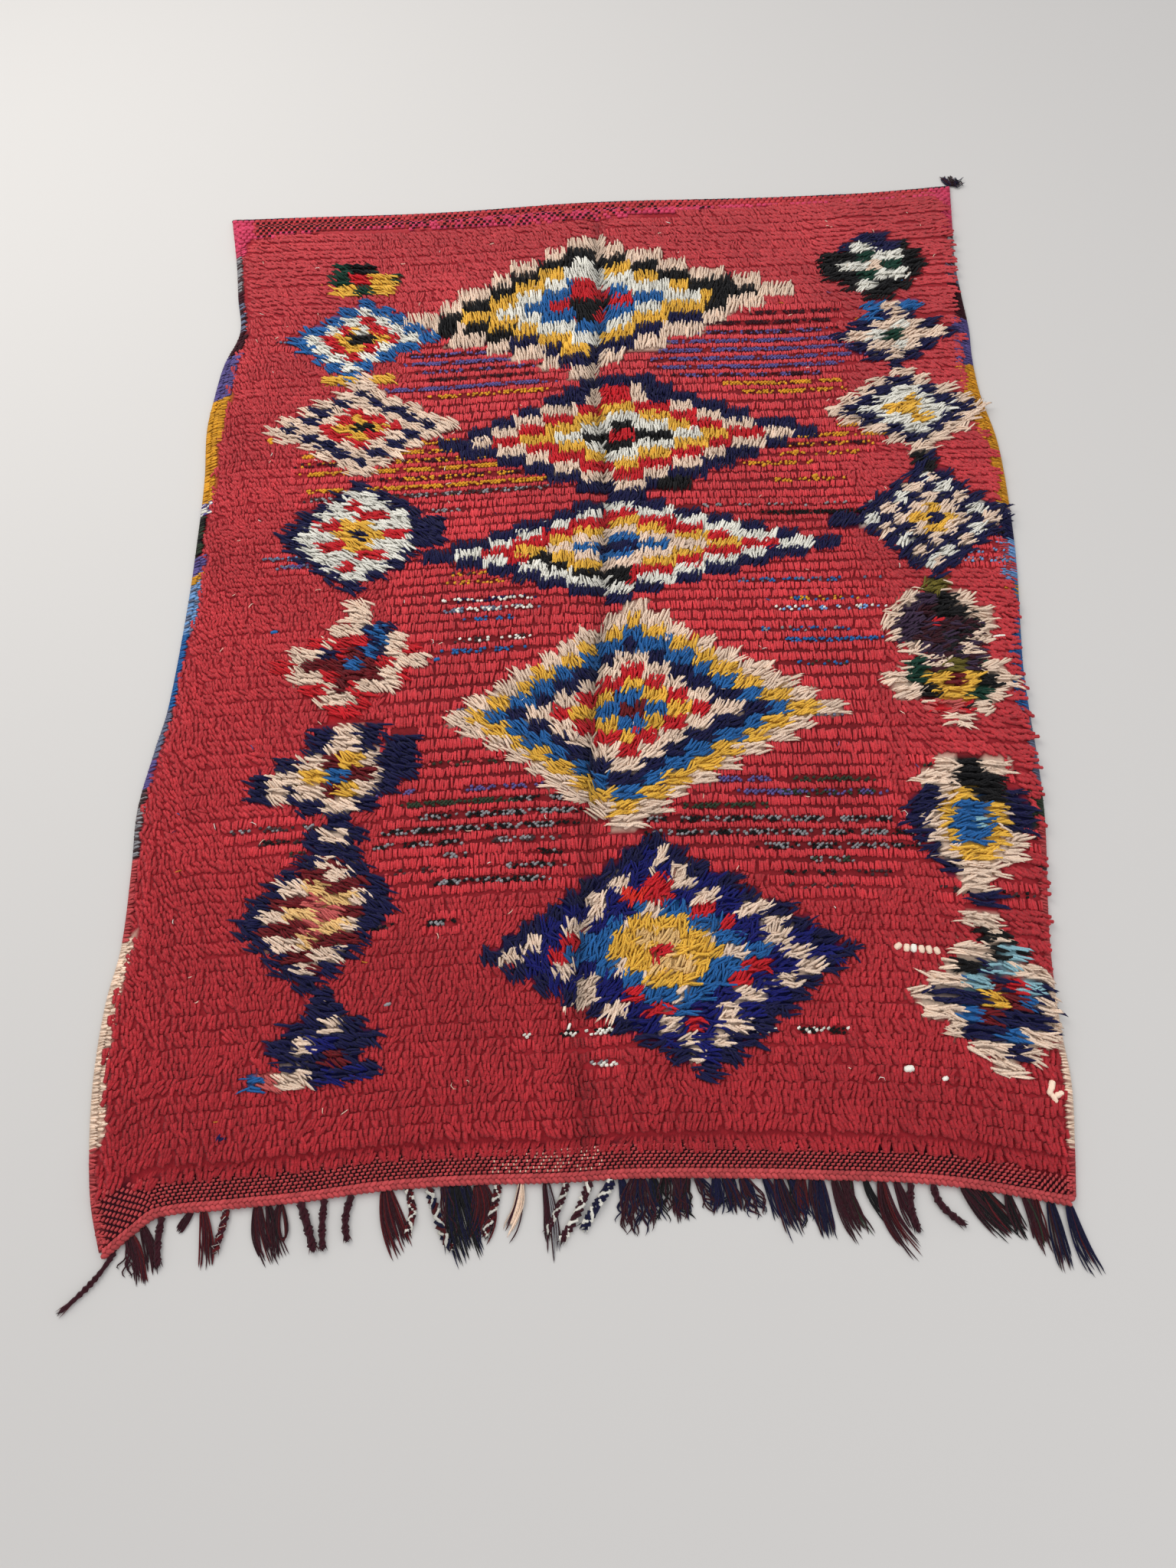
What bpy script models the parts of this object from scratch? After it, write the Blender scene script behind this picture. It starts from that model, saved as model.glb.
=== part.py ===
# A hand-knotted pile rug lying flat on a floor, modelled at rest.
#
# Frame: X across the width, Y along the length with the fringed end at -Y, Z up.
# The underside lies on Z = 0 and the origin is the middle of the whole footprint.
# Every piece is one closed body, and neighbouring pieces keep GAP between them.

import math
import random
from collections import namedtuple

import bmesh
import bpy

GAP = 0.0003

# Thickness of the rug in its different weaves.
SELVEDGE_HEIGHT = 0.006
PILE_HEIGHT = 0.018
SHAG_SWELL = 0.003
WAVE_HEIGHT = 0.0012
PILE_ROLL_OFF = 0.028
LOW_END_BAND = 0.030
HIGH_END_BAND = 0.022

# The fold that the rug was stored on runs down the middle of its length.
CREASE_ACROSS = 0.5
CREASE_WIDTH = 0.022
CREASE_DEPTH = 0.006

COLUMNS = 32
ROWS = 46

# The plain rectangle in the middle of the underside.
REST_HALF_WIDTH = 0.5
REST_HALF_LENGTH = 0.9

# Cords and yarns are D-shaped in section: flat below, round above.
BRAID_WIDTH = 0.012
BRAID_HEIGHT = 0.009
TOP_CORD_WIDTH = 0.006
TOP_CORD_HEIGHT = 0.006
COMB_WIDTH = 0.004
COMB_HEIGHT = 0.005
STRAND_HEIGHT = 0.007
STRAND_STEPS = 5

SideStation = namedtuple("SideStation", "part_of_length left right")
EndStation = namedtuple("EndStation", "part_of_width low high")
Lozenge = namedtuple("Lozenge", "across along half_width half_length")
Strand = namedtuple("Strand", "root width bow lean reach")

# The two selvedges, read up the length: no two sections were beaten to one width.
SIDES = (
    SideStation(0.000, -0.722, 0.577),
    SideStation(0.030, -0.745, 0.590),
    SideStation(0.070, -0.762, 0.605),
    SideStation(0.110, -0.772, 0.608),
    SideStation(0.160, -0.774, 0.618),
    SideStation(0.200, -0.766, 0.632),
    SideStation(0.260, -0.772, 0.656),
    SideStation(0.310, -0.780, 0.668),
    SideStation(0.360, -0.770, 0.675),
    SideStation(0.400, -0.760, 0.683),
    SideStation(0.500, -0.758, 0.716),
    SideStation(0.570, -0.762, 0.732),
    SideStation(0.640, -0.769, 0.740),
    SideStation(0.700, -0.782, 0.731),
    SideStation(0.745, -0.779, 0.734),
    SideStation(0.785, -0.772, 0.743),
    SideStation(0.830, -0.751, 0.746),
    SideStation(0.880, -0.768, 0.751),
    SideStation(0.930, -0.784, 0.765),
    SideStation(1.000, -0.812, 0.785),
)

# The fringed (low) and the plain (high) end, read from left to right.
ENDS = (
    EndStation(0.000, -1.070, 1.046),
    EndStation(0.025, -1.041, 1.046),
    EndStation(0.050, -1.017, 1.047),
    EndStation(0.120, -1.008, 1.048),
    EndStation(0.200, -1.001, 1.049),
    EndStation(0.280, -0.990, 1.051),
    EndStation(0.370, -0.985, 1.060),
    EndStation(0.470, -0.985, 1.072),
    EndStation(0.550, -0.982, 1.075),
    EndStation(0.670, -0.986, 1.074),
    EndStation(0.750, -0.991, 1.074),
    EndStation(0.820, -0.996, 1.077),
    EndStation(0.880, -1.004, 1.080),
    EndStation(0.940, -1.018, 1.088),
    EndStation(1.000, -1.034, 1.098),
)

# Where the long-pile lozenges stand proud of the short red pile.
LOZENGES = (
    Lozenge(-0.005, 0.736, 0.400, 0.209),
    Lozenge(0.038, 0.363, 0.368, 0.159),
    Lozenge(0.032, 0.091, 0.372, 0.120),
    Lozenge(0.027, -0.255, 0.333, 0.219),
    Lozenge(0.055, -0.678, 0.279, 0.187),
    Lozenge(-0.510, 0.828, 0.070, 0.048),
    Lozenge(-0.507, 0.646, 0.146, 0.119),
    Lozenge(-0.484, 0.404, 0.180, 0.123),
    Lozenge(-0.467, 0.131, 0.133, 0.127),
    Lozenge(-0.455, -0.138, 0.130, 0.112),
    Lozenge(-0.461, -0.382, 0.140, 0.106),
    Lozenge(-0.468, -0.605, 0.123, 0.122),
    Lozenge(-0.458, -0.809, 0.073, 0.055),
    Lozenge(0.571, 0.828, 0.111, 0.104),
    Lozenge(0.581, 0.617, 0.118, 0.100),
    Lozenge(0.587, 0.411, 0.150, 0.113),
    Lozenge(0.579, 0.136, 0.148, 0.137),
    Lozenge(0.555, -0.160, 0.110, 0.150),
    Lozenge(0.538, -0.490, 0.095, 0.125),
    Lozenge(0.511, -0.764, 0.106, 0.117),
)

# The fringe, left to right: where a tassel leaves the end, how thick it is, how far its middle
# bows sideways, how far its tip leans to the right, and how far it reaches out.
TASSELS = (
    Strand(-0.700, 0.008, 0.008, -0.064, 0.078),
    Strand(-0.682, 0.012, 0.004, 0.022, 0.064),
    Strand(-0.669, 0.013, 0.003, 0.022, 0.062),
    Strand(-0.645, 0.010, -0.003, 0.004, 0.066),
    Strand(-0.606, 0.008, 0.000, -0.018, 0.030),
    Strand(-0.591, 0.014, 0.003, 0.012, 0.076),
    Strand(-0.559, 0.010, 0.001, -0.011, 0.058),
    Strand(-0.519, 0.016, -0.006, 0.030, 0.082),
    Strand(-0.488, 0.014, -0.008, 0.008, 0.070),
    Strand(-0.462, 0.012, 0.001, 0.025, 0.066),
    Strand(-0.429, 0.010, -0.002, 0.003, 0.068),
    Strand(-0.392, 0.010, -0.006, -0.002, 0.062),
    Strand(-0.347, 0.024, -0.004, 0.030, 0.084),
    Strand(-0.319, 0.010, 0.008, 0.002, 0.060),
    Strand(-0.289, 0.012, -0.003, 0.033, 0.084),
    Strand(-0.256, 0.028, -0.004, 0.028, 0.100),
    Strand(-0.222, 0.026, 0.012, -0.009, 0.078),
    Strand(-0.195, 0.010, 0.002, -0.019, 0.070),
    Strand(-0.164, 0.012, 0.006, -0.025, 0.076),
    Strand(-0.131, 0.014, 0.002, 0.010, 0.104),
    Strand(-0.102, 0.009, 0.002, -0.030, 0.068),
    Strand(-0.070, 0.011, 0.004, -0.044, 0.080),
    Strand(-0.040, 0.012, 0.001, -0.045, 0.066),
    Strand(-0.006, 0.032, -0.002, -0.001, 0.076),
    Strand(0.030, 0.016, 0.001, -0.006, 0.048),
    Strand(0.050, 0.016, -0.002, 0.002, 0.060),
    Strand(0.072, 0.014, 0.002, 0.026, 0.050),
    Strand(0.098, 0.014, 0.003, -0.003, 0.048),
    Strand(0.134, 0.018, 0.001, 0.022, 0.054),
    Strand(0.182, 0.018, -0.004, 0.024, 0.080),
    Strand(0.214, 0.016, -0.003, -0.003, 0.056),
    Strand(0.238, 0.017, -0.002, 0.006, 0.080),
    Strand(0.257, 0.013, -0.005, 0.030, 0.086),
    Strand(0.279, 0.010, -0.010, 0.022, 0.076),
    Strand(0.299, 0.009, -0.006, 0.028, 0.054),
    Strand(0.321, 0.018, -0.012, 0.040, 0.100),
    Strand(0.340, 0.012, -0.002, 0.022, 0.070),
    Strand(0.361, 0.010, -0.006, 0.001, 0.066),
    Strand(0.390, 0.010, -0.012, 0.036, 0.056),
    Strand(0.428, 0.016, -0.004, 0.054, 0.070),
    Strand(0.454, 0.016, -0.002, 0.046, 0.066),
    Strand(0.486, 0.013, -0.003, 0.016, 0.060),
    Strand(0.521, 0.014, -0.004, 0.008, 0.072),
    Strand(0.541, 0.015, -0.002, 0.008, 0.098),
    Strand(0.565, 0.015, -0.006, 0.024, 0.094),
)

# The loose tuft that ends the top cord, as strands from its knot.
CORNER_KNOT = (0.7935, 1.1065)
CORNER_STRANDS = (
    Strand(-0.006, 0.010, 0.000, -0.014, 0.040),
    Strand(0.000, 0.012, -0.002, -0.003, 0.042),
    Strand(0.005, 0.008, 0.001, 0.006, 0.032),
)
TAIL_WIDTH = 0.005
TAIL_REACH = 0.0134
TAIL_RISE = 0.006

# D-shaped section: part of the half width, part of the height.
SECTION = ((-1.0, 0.0), (-0.88, 0.6), (0.0, 1.0), (0.88, 0.6), (1.0, 0.0))

random.seed(7)
wave_phases = [random.uniform(0.0, 2.0 * math.pi) for _ in range(6)]


def clear_scene():
    for old in list(bpy.data.objects):
        bpy.data.objects.remove(old, do_unlink=True)


def make_material(name, colour, roughness):
    material = bpy.data.materials.new(name)
    material.use_nodes = True
    shader = material.node_tree.nodes["Principled BSDF"]
    shader.inputs["Base Color"].default_value = (*colour, 1.0)
    shader.inputs["Roughness"].default_value = roughness
    shader.inputs["Metallic"].default_value = 0.0
    return material


def smooth_step(value):
    t = min(max(value, 0.0), 1.0)
    return t * t * (3.0 - 2.0 * t)


def read_table(table, key, column):
    # A smooth curve through one column of a station table.
    last = len(table) - 2
    i = 0
    while i < last and table[i + 1][0] <= key:
        i += 1
    before = table[max(i - 1, 0)]
    start = table[i]
    end = table[i + 1]
    after = table[min(i + 2, last + 1)]
    span = end[0] - start[0]
    t = (key - start[0]) / span
    leave = (end[column] - before[column]) / (end[0] - before[0]) * span
    arrive = (after[column] - start[column]) / (after[0] - start[0]) * span
    return (
        (2 * t**3 - 3 * t**2 + 1) * start[column]
        + (t**3 - 2 * t**2 + t) * leave
        + (3 * t**2 - 2 * t**3) * end[column]
        + (t**3 - t**2) * arrive
    )


def on_rug(u, v):
    # Part of the width and part of the length, as a place on the floor.
    left = read_table(SIDES, v, 1)
    right = read_table(SIDES, v, 2)
    low = read_table(ENDS, u, 1)
    high = read_table(ENDS, u, 2)
    return left + u * (right - left), low + v * (high - low)


def shag_at(x, y):
    # 1 inside a lozenge, falling to 0 at its outline.
    most = 0.0
    for lozenge in LOZENGES:
        across = abs(x - lozenge.across) / lozenge.half_width
        along = abs(y - lozenge.along) / lozenge.half_length
        most = max(most, smooth_step((1.1 - across - along) / 0.2))
    return most


def wave_at(x, y):
    # The slight rise and fall of hand-beaten cloth that has been folded and walked on.
    total = 0.0
    for i, phase in enumerate(wave_phases):
        total += math.sin((3.1 + 1.7 * i) * x + (5.3 - 1.3 * i) * y + phase)
    return WAVE_HEIGHT * total / len(wave_phases)


def rug_height(u, v):
    x, y = on_rug(u, v)
    width = on_rug(1.0, v)[0] - on_rug(0.0, v)[0]
    length = on_rug(u, 1.0)[1] - on_rug(u, 0.0)[1]
    from_side = min(u, 1.0 - u) * width
    pile = smooth_step(from_side / PILE_ROLL_OFF)
    pile *= smooth_step((v * length - LOW_END_BAND) / PILE_ROLL_OFF)
    pile *= smooth_step(((1.0 - v) * length - HIGH_END_BAND) / PILE_ROLL_OFF)
    off_crease = (u - CREASE_ACROSS) * width / CREASE_WIDTH
    crease = CREASE_DEPTH * math.exp(-off_crease * off_crease)
    raised = PILE_HEIGHT - SELVEDGE_HEIGHT + SHAG_SWELL * shag_at(x, y) + wave_at(x, y) - crease
    return SELVEDGE_HEIGHT + pile * raised


def spaced(count, extra):
    # Even steps from 0 to 1, with closer ones where the surface turns sharply.
    even = [i / count for i in range(count + 1)]
    kept = [e for e in even if all(abs(e - x) > 0.35 / count for x in extra) or e in (0.0, 1.0)]
    return sorted(kept + list(extra))


def column_steps():
    edge = PILE_ROLL_OFF / 1.45
    fold = CREASE_WIDTH / 1.45
    near_fold = (CREASE_ACROSS - 1.6 * fold, CREASE_ACROSS - 0.6 * fold, CREASE_ACROSS)
    past_fold = (CREASE_ACROSS + 0.6 * fold, CREASE_ACROSS + 1.6 * fold)
    return spaced(COLUMNS, (0.5 * edge, edge) + near_fold + past_fold + (1.0 - edge, 1.0 - 0.5 * edge))


def row_steps():
    low = LOW_END_BAND / 2.1
    high = HIGH_END_BAND / 2.1
    roll = PILE_ROLL_OFF / 2.1
    return spaced(ROWS, (low, low + 0.6 * roll, low + roll, 1.0 - high - roll, 1.0 - high - 0.6 * roll, 1.0 - high))


def finish_object(name, mesh_data, material):
    mesh = bpy.data.meshes.new(name)
    mesh_data.to_mesh(mesh)
    mesh_data.free()
    piece = bpy.data.objects.new(name, mesh)
    bpy.context.scene.collection.objects.link(piece)
    mesh.materials.append(material)
    mesh.shade_smooth()
    mesh.set_sharp_from_angle(angle=math.radians(50))
    return piece


def make_rug_body(material):
    columns = column_steps()
    rows = row_steps()
    built = bmesh.new()
    top = []
    for v in rows:
        top.append([built.verts.new((*on_rug(u, v), rug_height(u, v))) for u in columns])
    for lower, upper in zip(top, top[1:]):
        for i in range(len(columns) - 1):
            built.faces.new((lower[i], lower[i + 1], upper[i + 1], upper[i]))
    rim = [top[0][i] for i in range(len(columns))]
    rim += [row[-1] for row in top[1:]]
    rim += [top[-1][i] for i in range(len(columns) - 2, -1, -1)]
    rim += [row[0] for row in top[-2:0:-1]]
    foot = {}
    for vert in rim:
        foot[vert] = built.verts.new((vert.co.x, vert.co.y, 0.0))
    for a, b in zip(rim, rim[1:] + rim[:1]):
        built.faces.new((b, a, foot[a], foot[b]))
    # The flat underside: one plain rectangle, and the wavy border round it.
    pad = []
    for side_x, side_y in ((-1, -1), (-1, 1), (1, 1), (1, -1)):
        pad.append(built.verts.new((side_x * REST_HALF_WIDTH, side_y * REST_HALF_LENGTH, 0.0)))
    rest_face = built.faces.new(pad)
    border = [built.edges.get((foot[a], foot[b])) for a, b in zip(rim, rim[1:] + rim[:1])]
    bmesh.ops.triangle_fill(built, use_beauty=True, edges=border + list(rest_face.edges))
    bmesh.ops.recalc_face_normals(built, faces=built.faces)
    return finish_object("rug_body", built, material)


def sweep(stations, root_angle=None):
    # stations: (x, y, floor, half width, height), the D-section carried along them and capped.
    # Each section stands square to the line, but the first can lie along the edge it grows from.
    built = bmesh.new()
    rings = []
    for i, (x, y, floor, half, height) in enumerate(stations):
        before = stations[max(i - 1, 0)]
        after = stations[min(i + 1, len(stations) - 1)]
        angle = math.atan2(before[0] - after[0], after[1] - before[1])
        if i == 0 and root_angle is not None:
            angle = root_angle
        side_x = math.cos(angle)
        side_y = math.sin(angle)
        ring = []
        for out, up in SECTION:
            place = (x + side_x * half * out, y + side_y * half * out, floor + height * up)
            ring.append(built.verts.new(place))
        rings.append(ring)
    count = len(SECTION)
    for near, far in zip(rings, rings[1:]):
        for k in range(count):
            built.faces.new((near[k], far[k], far[(k + 1) % count], near[(k + 1) % count]))
    built.faces.new(rings[0])
    built.faces.new(list(reversed(rings[-1])))
    bmesh.ops.recalc_face_normals(built, faces=built.faces)
    return built


def along_end(v, outward, columns):
    # A line beside one end of the rug, a fixed distance outside its edge.
    edge = [on_rug(u, v) for u in columns]
    line = []
    for i, (x, y) in enumerate(edge):
        to_last = edge[i] if i == 0 else edge[i - 1]
        to_next = edge[i] if i == len(edge) - 1 else edge[i + 1]
        first = math.atan2(y - to_last[1], x - to_last[0]) if i else None
        second = math.atan2(to_next[1] - y, to_next[0] - x) if i < len(edge) - 1 else None
        first = second if first is None else first
        second = first if second is None else second
        turn = (first + second) / 2.0
        reach = outward / math.cos((second - first) / 2.0)
        line.append((x + reach * -math.sin(turn), y + reach * math.cos(turn)))
    return line


def cord_stations(line, width, height):
    # A plied cord swells a little at every turn of its plies and thins at its ends.
    stations = []
    for i, (x, y) in enumerate(line):
        end = 0.75 if i in (0, len(line) - 1) else 1.0
        stations.append((x, y, 0.0, width / 2.0 * end, height * end * (1.0 + 0.04 * (-1) ** i)))
    return stations


def make_end_braid(material):
    columns = column_steps()
    line = along_end(0.0, -(GAP + BRAID_WIDTH / 2.0), columns)
    return finish_object("end_braid", sweep(cord_stations(line, BRAID_WIDTH, BRAID_HEIGHT)), material)


def make_top_cord(material):
    columns = column_steps()
    line = along_end(1.0, GAP + TOP_CORD_WIDTH / 2.0, columns)
    stations = cord_stations(line, TOP_CORD_WIDTH, TOP_CORD_HEIGHT)
    return finish_object("top_cord", sweep(stations), material)


def strand_stations(x, y, strand, outward, floor):
    stations = []
    for i in range(STRAND_STEPS + 1):
        t = i / STRAND_STEPS
        bow = strand.bow * math.sin(math.pi * t)
        half = strand.width / 2.0 * (0.75 + 0.55 * math.sin(math.pi * min(1.6 * t, 1.0)))
        half *= 1.0 - 0.62 * smooth_step((t - 0.55) / 0.45)
        height = STRAND_HEIGHT * (0.75 + 0.25 * math.sin(math.pi * t)) * (1.0 - 0.45 * t)
        stations.append((x + strand.lean * t + bow, y + outward * strand.reach * t, floor, half, height))
    return stations


def united(name, parts, material):
    # Overlapping closed shapes made one body, piece by piece.
    base = finish_object(name, parts[0], material)
    for part in parts[1:]:
        helper = finish_object(name + "_part", part, material)
        join = base.modifiers.new("join", "BOOLEAN")
        join.operation = "UNION"
        join.solver = "MANIFOLD"
        join.object = helper
        graph = bpy.context.evaluated_depsgraph_get()
        joined = bpy.data.meshes.new_from_object(base.evaluated_get(graph))
        base.modifiers.clear()
        base.data = joined
        bpy.data.objects.remove(helper, do_unlink=True)
    base.data.name = name
    return base


def edge_at(line, x):
    # The place along Y, and the slope as an angle, of a left-to-right line at x.
    for (x0, y0), (x1, y1) in zip(line, line[1:]):
        if x < x1:
            break
    return y0 + (y1 - y0) * (x - x0) / (x1 - x0), math.atan2(y1 - y0, x1 - x0)


def make_fringe(material):
    columns = column_steps()
    spine_line = along_end(0.0, -(2.0 * GAP + BRAID_WIDTH + COMB_WIDTH / 2.0), columns)
    parts = [sweep([(x, y, 0.0, COMB_WIDTH / 2.0, COMB_HEIGHT) for x, y in spine_line])]
    for i, tassel in enumerate(TASSELS):
        floor = 0.0002 + 0.0001 * (i % 3)
        root_y, slope = edge_at(spine_line, tassel.root)
        stations = strand_stations(tassel.root, root_y, tassel, -1.0, floor)
        parts.append(sweep(stations, slope + math.pi))
    return united("fringe", parts, material)


def make_corner_tassel(material):
    x, y = CORNER_KNOT
    parts = []
    for i, strand in enumerate(CORNER_STRANDS):
        parts.append(sweep(strand_stations(x + strand.root, y, strand, 1.0, 0.0002 * i)))
    tail = []
    for i in range(STRAND_STEPS + 1):
        t = i / STRAND_STEPS
        rise = TAIL_RISE * math.sin(2.0 * math.pi * t)
        tail.append((x + 0.003 + TAIL_REACH * t, y + 0.006 + rise, 0.0001, TAIL_WIDTH / 2.0, 0.005))
    parts.append(sweep(tail))
    return united("corner_tassel", parts, material)


clear_scene()
make_rug_body(make_material("red_wool_pile", (0.42, 0.035, 0.045), 0.95))
make_end_braid(make_material("plied_red_yarn", (0.45, 0.06, 0.06), 0.85))
make_top_cord(make_material("dark_heading_cord", (0.035, 0.012, 0.02), 0.85))
make_fringe(make_material("maroon_fringe_yarn", (0.06, 0.012, 0.02), 0.8))
make_corner_tassel(make_material("navy_tuft_yarn", (0.02, 0.015, 0.04), 0.8))
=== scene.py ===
import math
import random

import bpy
import numpy as np
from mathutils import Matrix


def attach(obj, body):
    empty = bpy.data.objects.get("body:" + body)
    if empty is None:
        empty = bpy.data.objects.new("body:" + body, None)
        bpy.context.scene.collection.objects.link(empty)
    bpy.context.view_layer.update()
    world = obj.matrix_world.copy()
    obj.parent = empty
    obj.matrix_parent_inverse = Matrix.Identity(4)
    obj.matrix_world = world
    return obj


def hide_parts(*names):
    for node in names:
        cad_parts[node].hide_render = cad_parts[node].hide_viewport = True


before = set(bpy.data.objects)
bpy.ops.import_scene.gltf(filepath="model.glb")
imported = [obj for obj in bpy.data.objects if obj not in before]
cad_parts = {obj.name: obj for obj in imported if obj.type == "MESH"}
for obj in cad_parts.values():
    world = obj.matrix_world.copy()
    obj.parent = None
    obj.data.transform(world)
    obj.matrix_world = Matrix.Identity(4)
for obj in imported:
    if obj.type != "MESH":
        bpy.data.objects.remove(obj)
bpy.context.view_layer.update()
chance = np.random.default_rng(41)

# the rug's outline and thickness, as the frame has them, in metres
weave = {
    "sides": np.array([  # part of the length, left edge, right edge
        (0.000, -0.722, 0.577), (0.030, -0.745, 0.590), (0.070, -0.762, 0.605), (0.110, -0.772, 0.608),
        (0.160, -0.774, 0.618), (0.200, -0.766, 0.632), (0.260, -0.772, 0.656), (0.310, -0.780, 0.668),
        (0.360, -0.770, 0.675), (0.400, -0.760, 0.683), (0.500, -0.758, 0.716), (0.570, -0.762, 0.732),
        (0.640, -0.769, 0.740), (0.700, -0.782, 0.731), (0.745, -0.779, 0.734), (0.785, -0.772, 0.743),
        (0.830, -0.751, 0.746), (0.880, -0.768, 0.751), (0.930, -0.784, 0.765), (1.000, -0.812, 0.785)]),
    "ends": np.array([  # part of the width, low edge, high edge
        (0.000, -1.070, 1.046), (0.025, -1.041, 1.046), (0.050, -1.017, 1.047), (0.120, -1.008, 1.048),
        (0.200, -1.001, 1.049), (0.280, -0.990, 1.051), (0.370, -0.985, 1.060), (0.470, -0.985, 1.072),
        (0.550, -0.982, 1.075), (0.670, -0.986, 1.074), (0.750, -0.991, 1.074), (0.820, -0.996, 1.077),
        (0.880, -1.004, 1.080), (0.940, -1.018, 1.088), (1.000, -1.034, 1.098)]),
    "selvedgeHeight": 0.006, "pileHeight": 0.018, "waveHeight": 0.0012, "rollOff": 0.028,
    "lowBand": 0.030, "highBand": 0.022, "length": 2.09,
    "creaseAt": 0.5, "creaseWidth": 0.022, "creaseDepth": 0.006,
}

random.seed(7)
wavePhases = [random.uniform(0.0, 2.0 * math.pi) for _ in range(6)]


def readTable(table, key, column):
    # the same smooth curve through the stations as the frame was built with
    keys, values = table[:, 0], table[:, column]
    key = np.asarray(key, float)
    i = np.clip(np.searchsorted(keys, key, side="right") - 1, 0, len(keys) - 2)
    before, after = np.maximum(i - 1, 0), np.minimum(i + 2, len(keys) - 1)
    span = keys[i + 1] - keys[i]
    t = (key - keys[i]) / span
    leave = (values[i + 1] - values[before]) / (keys[i + 1] - keys[before]) * span
    arrive = (values[after] - values[i]) / (keys[after] - keys[i]) * span
    return ((2 * t**3 - 3 * t**2 + 1) * values[i] + (t**3 - 2 * t**2 + t) * leave
            + (3 * t**2 - 2 * t**3) * values[i + 1] + (t**3 - t**2) * arrive)


def onRug(u, v):
    # part of the width and part of the length, as a place on the floor
    left, right = readTable(weave["sides"], v, 1), readTable(weave["sides"], v, 2)
    low, high = readTable(weave["ends"], u, 1), readTable(weave["ends"], u, 2)
    return left + u * (right - left), low + v * (high - low)


def offRug(x, y):
    # the way back from a place on the floor
    u, v = np.full(np.shape(x), 0.5), np.full(np.shape(x), 0.5)
    for _ in range(8):
        row, column = np.clip(v, 0, 1), np.clip(u, 0, 1)
        left, right = readTable(weave["sides"], row, 1), readTable(weave["sides"], row, 2)
        low, high = readTable(weave["ends"], column, 1), readTable(weave["ends"], column, 2)
        u, v = (x - left) / (right - left), (y - low) / (high - low)
    return u, v


def smoothStep(value):
    t = np.clip(value, 0.0, 1.0)
    return t * t * (3.0 - 2.0 * t)


def widthAt(v):
    return readTable(weave["sides"], v, 2) - readTable(weave["sides"], v, 1)


def lengthAt(u):
    return readTable(weave["ends"], u, 2) - readTable(weave["ends"], u, 1)


def pileShare(u, v):
    # 1 over the pile, 0 on the selvedges and the woven ends
    share = smoothStep(np.minimum(u, 1.0 - u) * widthAt(v) / weave["rollOff"])
    share = share * smoothStep((v * lengthAt(u) - weave["lowBand"]) / weave["rollOff"])
    return share * smoothStep(((1.0 - v) * lengthAt(u) - weave["highBand"]) / weave["rollOff"])


def creaseShare(u, v, spread=1.0):
    return np.exp(-((u - weave["creaseAt"]) * widthAt(v) / weave["creaseWidth"] / spread) ** 2)


def pileTop(u, v):
    x, y = onRug(u, v)
    wave = sum(np.sin((3.1 + 1.7 * i) * x + (5.3 - 1.3 * i) * y + p) for i, p in enumerate(wavePhases)) / 6
    raised = (weave["pileHeight"] - weave["selvedgeHeight"] + weave["waveHeight"] * wave
              - weave["creaseDepth"] * creaseShare(u, v))
    return weave["selvedgeHeight"] + pileShare(u, v) * raised


def drift(x, y, size, turn):
    # slow unsteadiness over the floor, about -1 to 1
    a, b = x * math.cos(turn) + y * math.sin(turn), y * math.cos(turn) - x * math.sin(turn)
    k = 2 * math.pi / size
    return (np.sin(k * a + 3.1 * turn) * np.cos(0.83 * k * b + turn)
            + np.sin(1.71 * k * b + 2.2 * turn) * np.cos(1.37 * k * a - turn)
            + 0.6 * np.sin(2.9 * k * (a + 0.6 * b) + 5 * turn)) / 1.9


def wornShare(x, y):
    # 1 where the pile is worn down to beads, between the lozenges of the middle
    across = smoothStep((0.50 - np.abs(x - 0.02)) / 0.16)
    along = smoothStep((y + 0.66) / 0.16) * smoothStep((0.70 - y) / 0.08)
    patchy = 0.80 + 0.35 * drift(x, y, 0.42, 0.7)
    return np.clip(across * along * patchy, 0, 1)


def footTop(u, v):
    # the woven foot that the yarn ends stand on, some millimetres under the top of the pile
    return pileTop(u, v) - 0.0012 - (0.0024 + 0.0024 * wornShare(*onRug(u, v))) * pileShare(u, v)


def dye(r, g, b):
    c = np.array([r, g, b]) / 255.0
    return np.where(c <= 0.04045, c / 12.92, ((c + 0.055) / 1.055) ** 2.4)


yarns = {
    "cream": dye(252, 222, 196), "white": dye(250, 246, 232), "mustard": dye(250, 193, 71),
    "paleYellow": dye(248, 202, 132), "navy": dye(20, 20, 68), "royal": dye(18, 22, 106),
    "blue": dye(38, 104, 170), "aqua": dye(150, 195, 205), "black": dye(13, 11, 13),
    "red": dye(214, 32, 42), "orangeRed": dye(235, 50, 38), "maroon": dye(116, 20, 28),
    "coral": dye(214, 100, 96), "green": dye(14, 62, 46), "plum": dye(62, 42, 66),
    "olive": dye(112, 100, 34), "lilac": dye(98, 86, 146), "slate": dye(110, 118, 142),
    "wine": dye(58, 14, 26), "pink": dye(218, 70, 104), "moss": dye(50, 62, 44),
    "grey": dye(150, 148, 150), "brown": dye(70, 48, 50), "sky": dye(120, 165, 215),
    "rose": dye(202, 68, 73), "cherry": dye(205, 60, 66), "ruby": dye(188, 46, 54),
    # foot: the red of the woven ground, kept darker than the pile partly as painted shade for the gaps between the
    # rows
    "foot": dye(150, 32, 40), "braidRed": dye(198, 76, 78), "gold": dye(226, 160, 40),
}
yarnNames = list(yarns)
palette = np.array([yarns[n] for n in yarnNames])


def yarnNumber(name):
    return yarnNames.index(name)


def yarnPair(name, pick):
    # a yarn's number, or of a pair the first one's where pick is true and else the second one's
    first, second = (name.split("/") * 2)[:2]
    return np.where(pick, yarnNumber(first), yarnNumber(second))


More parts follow.
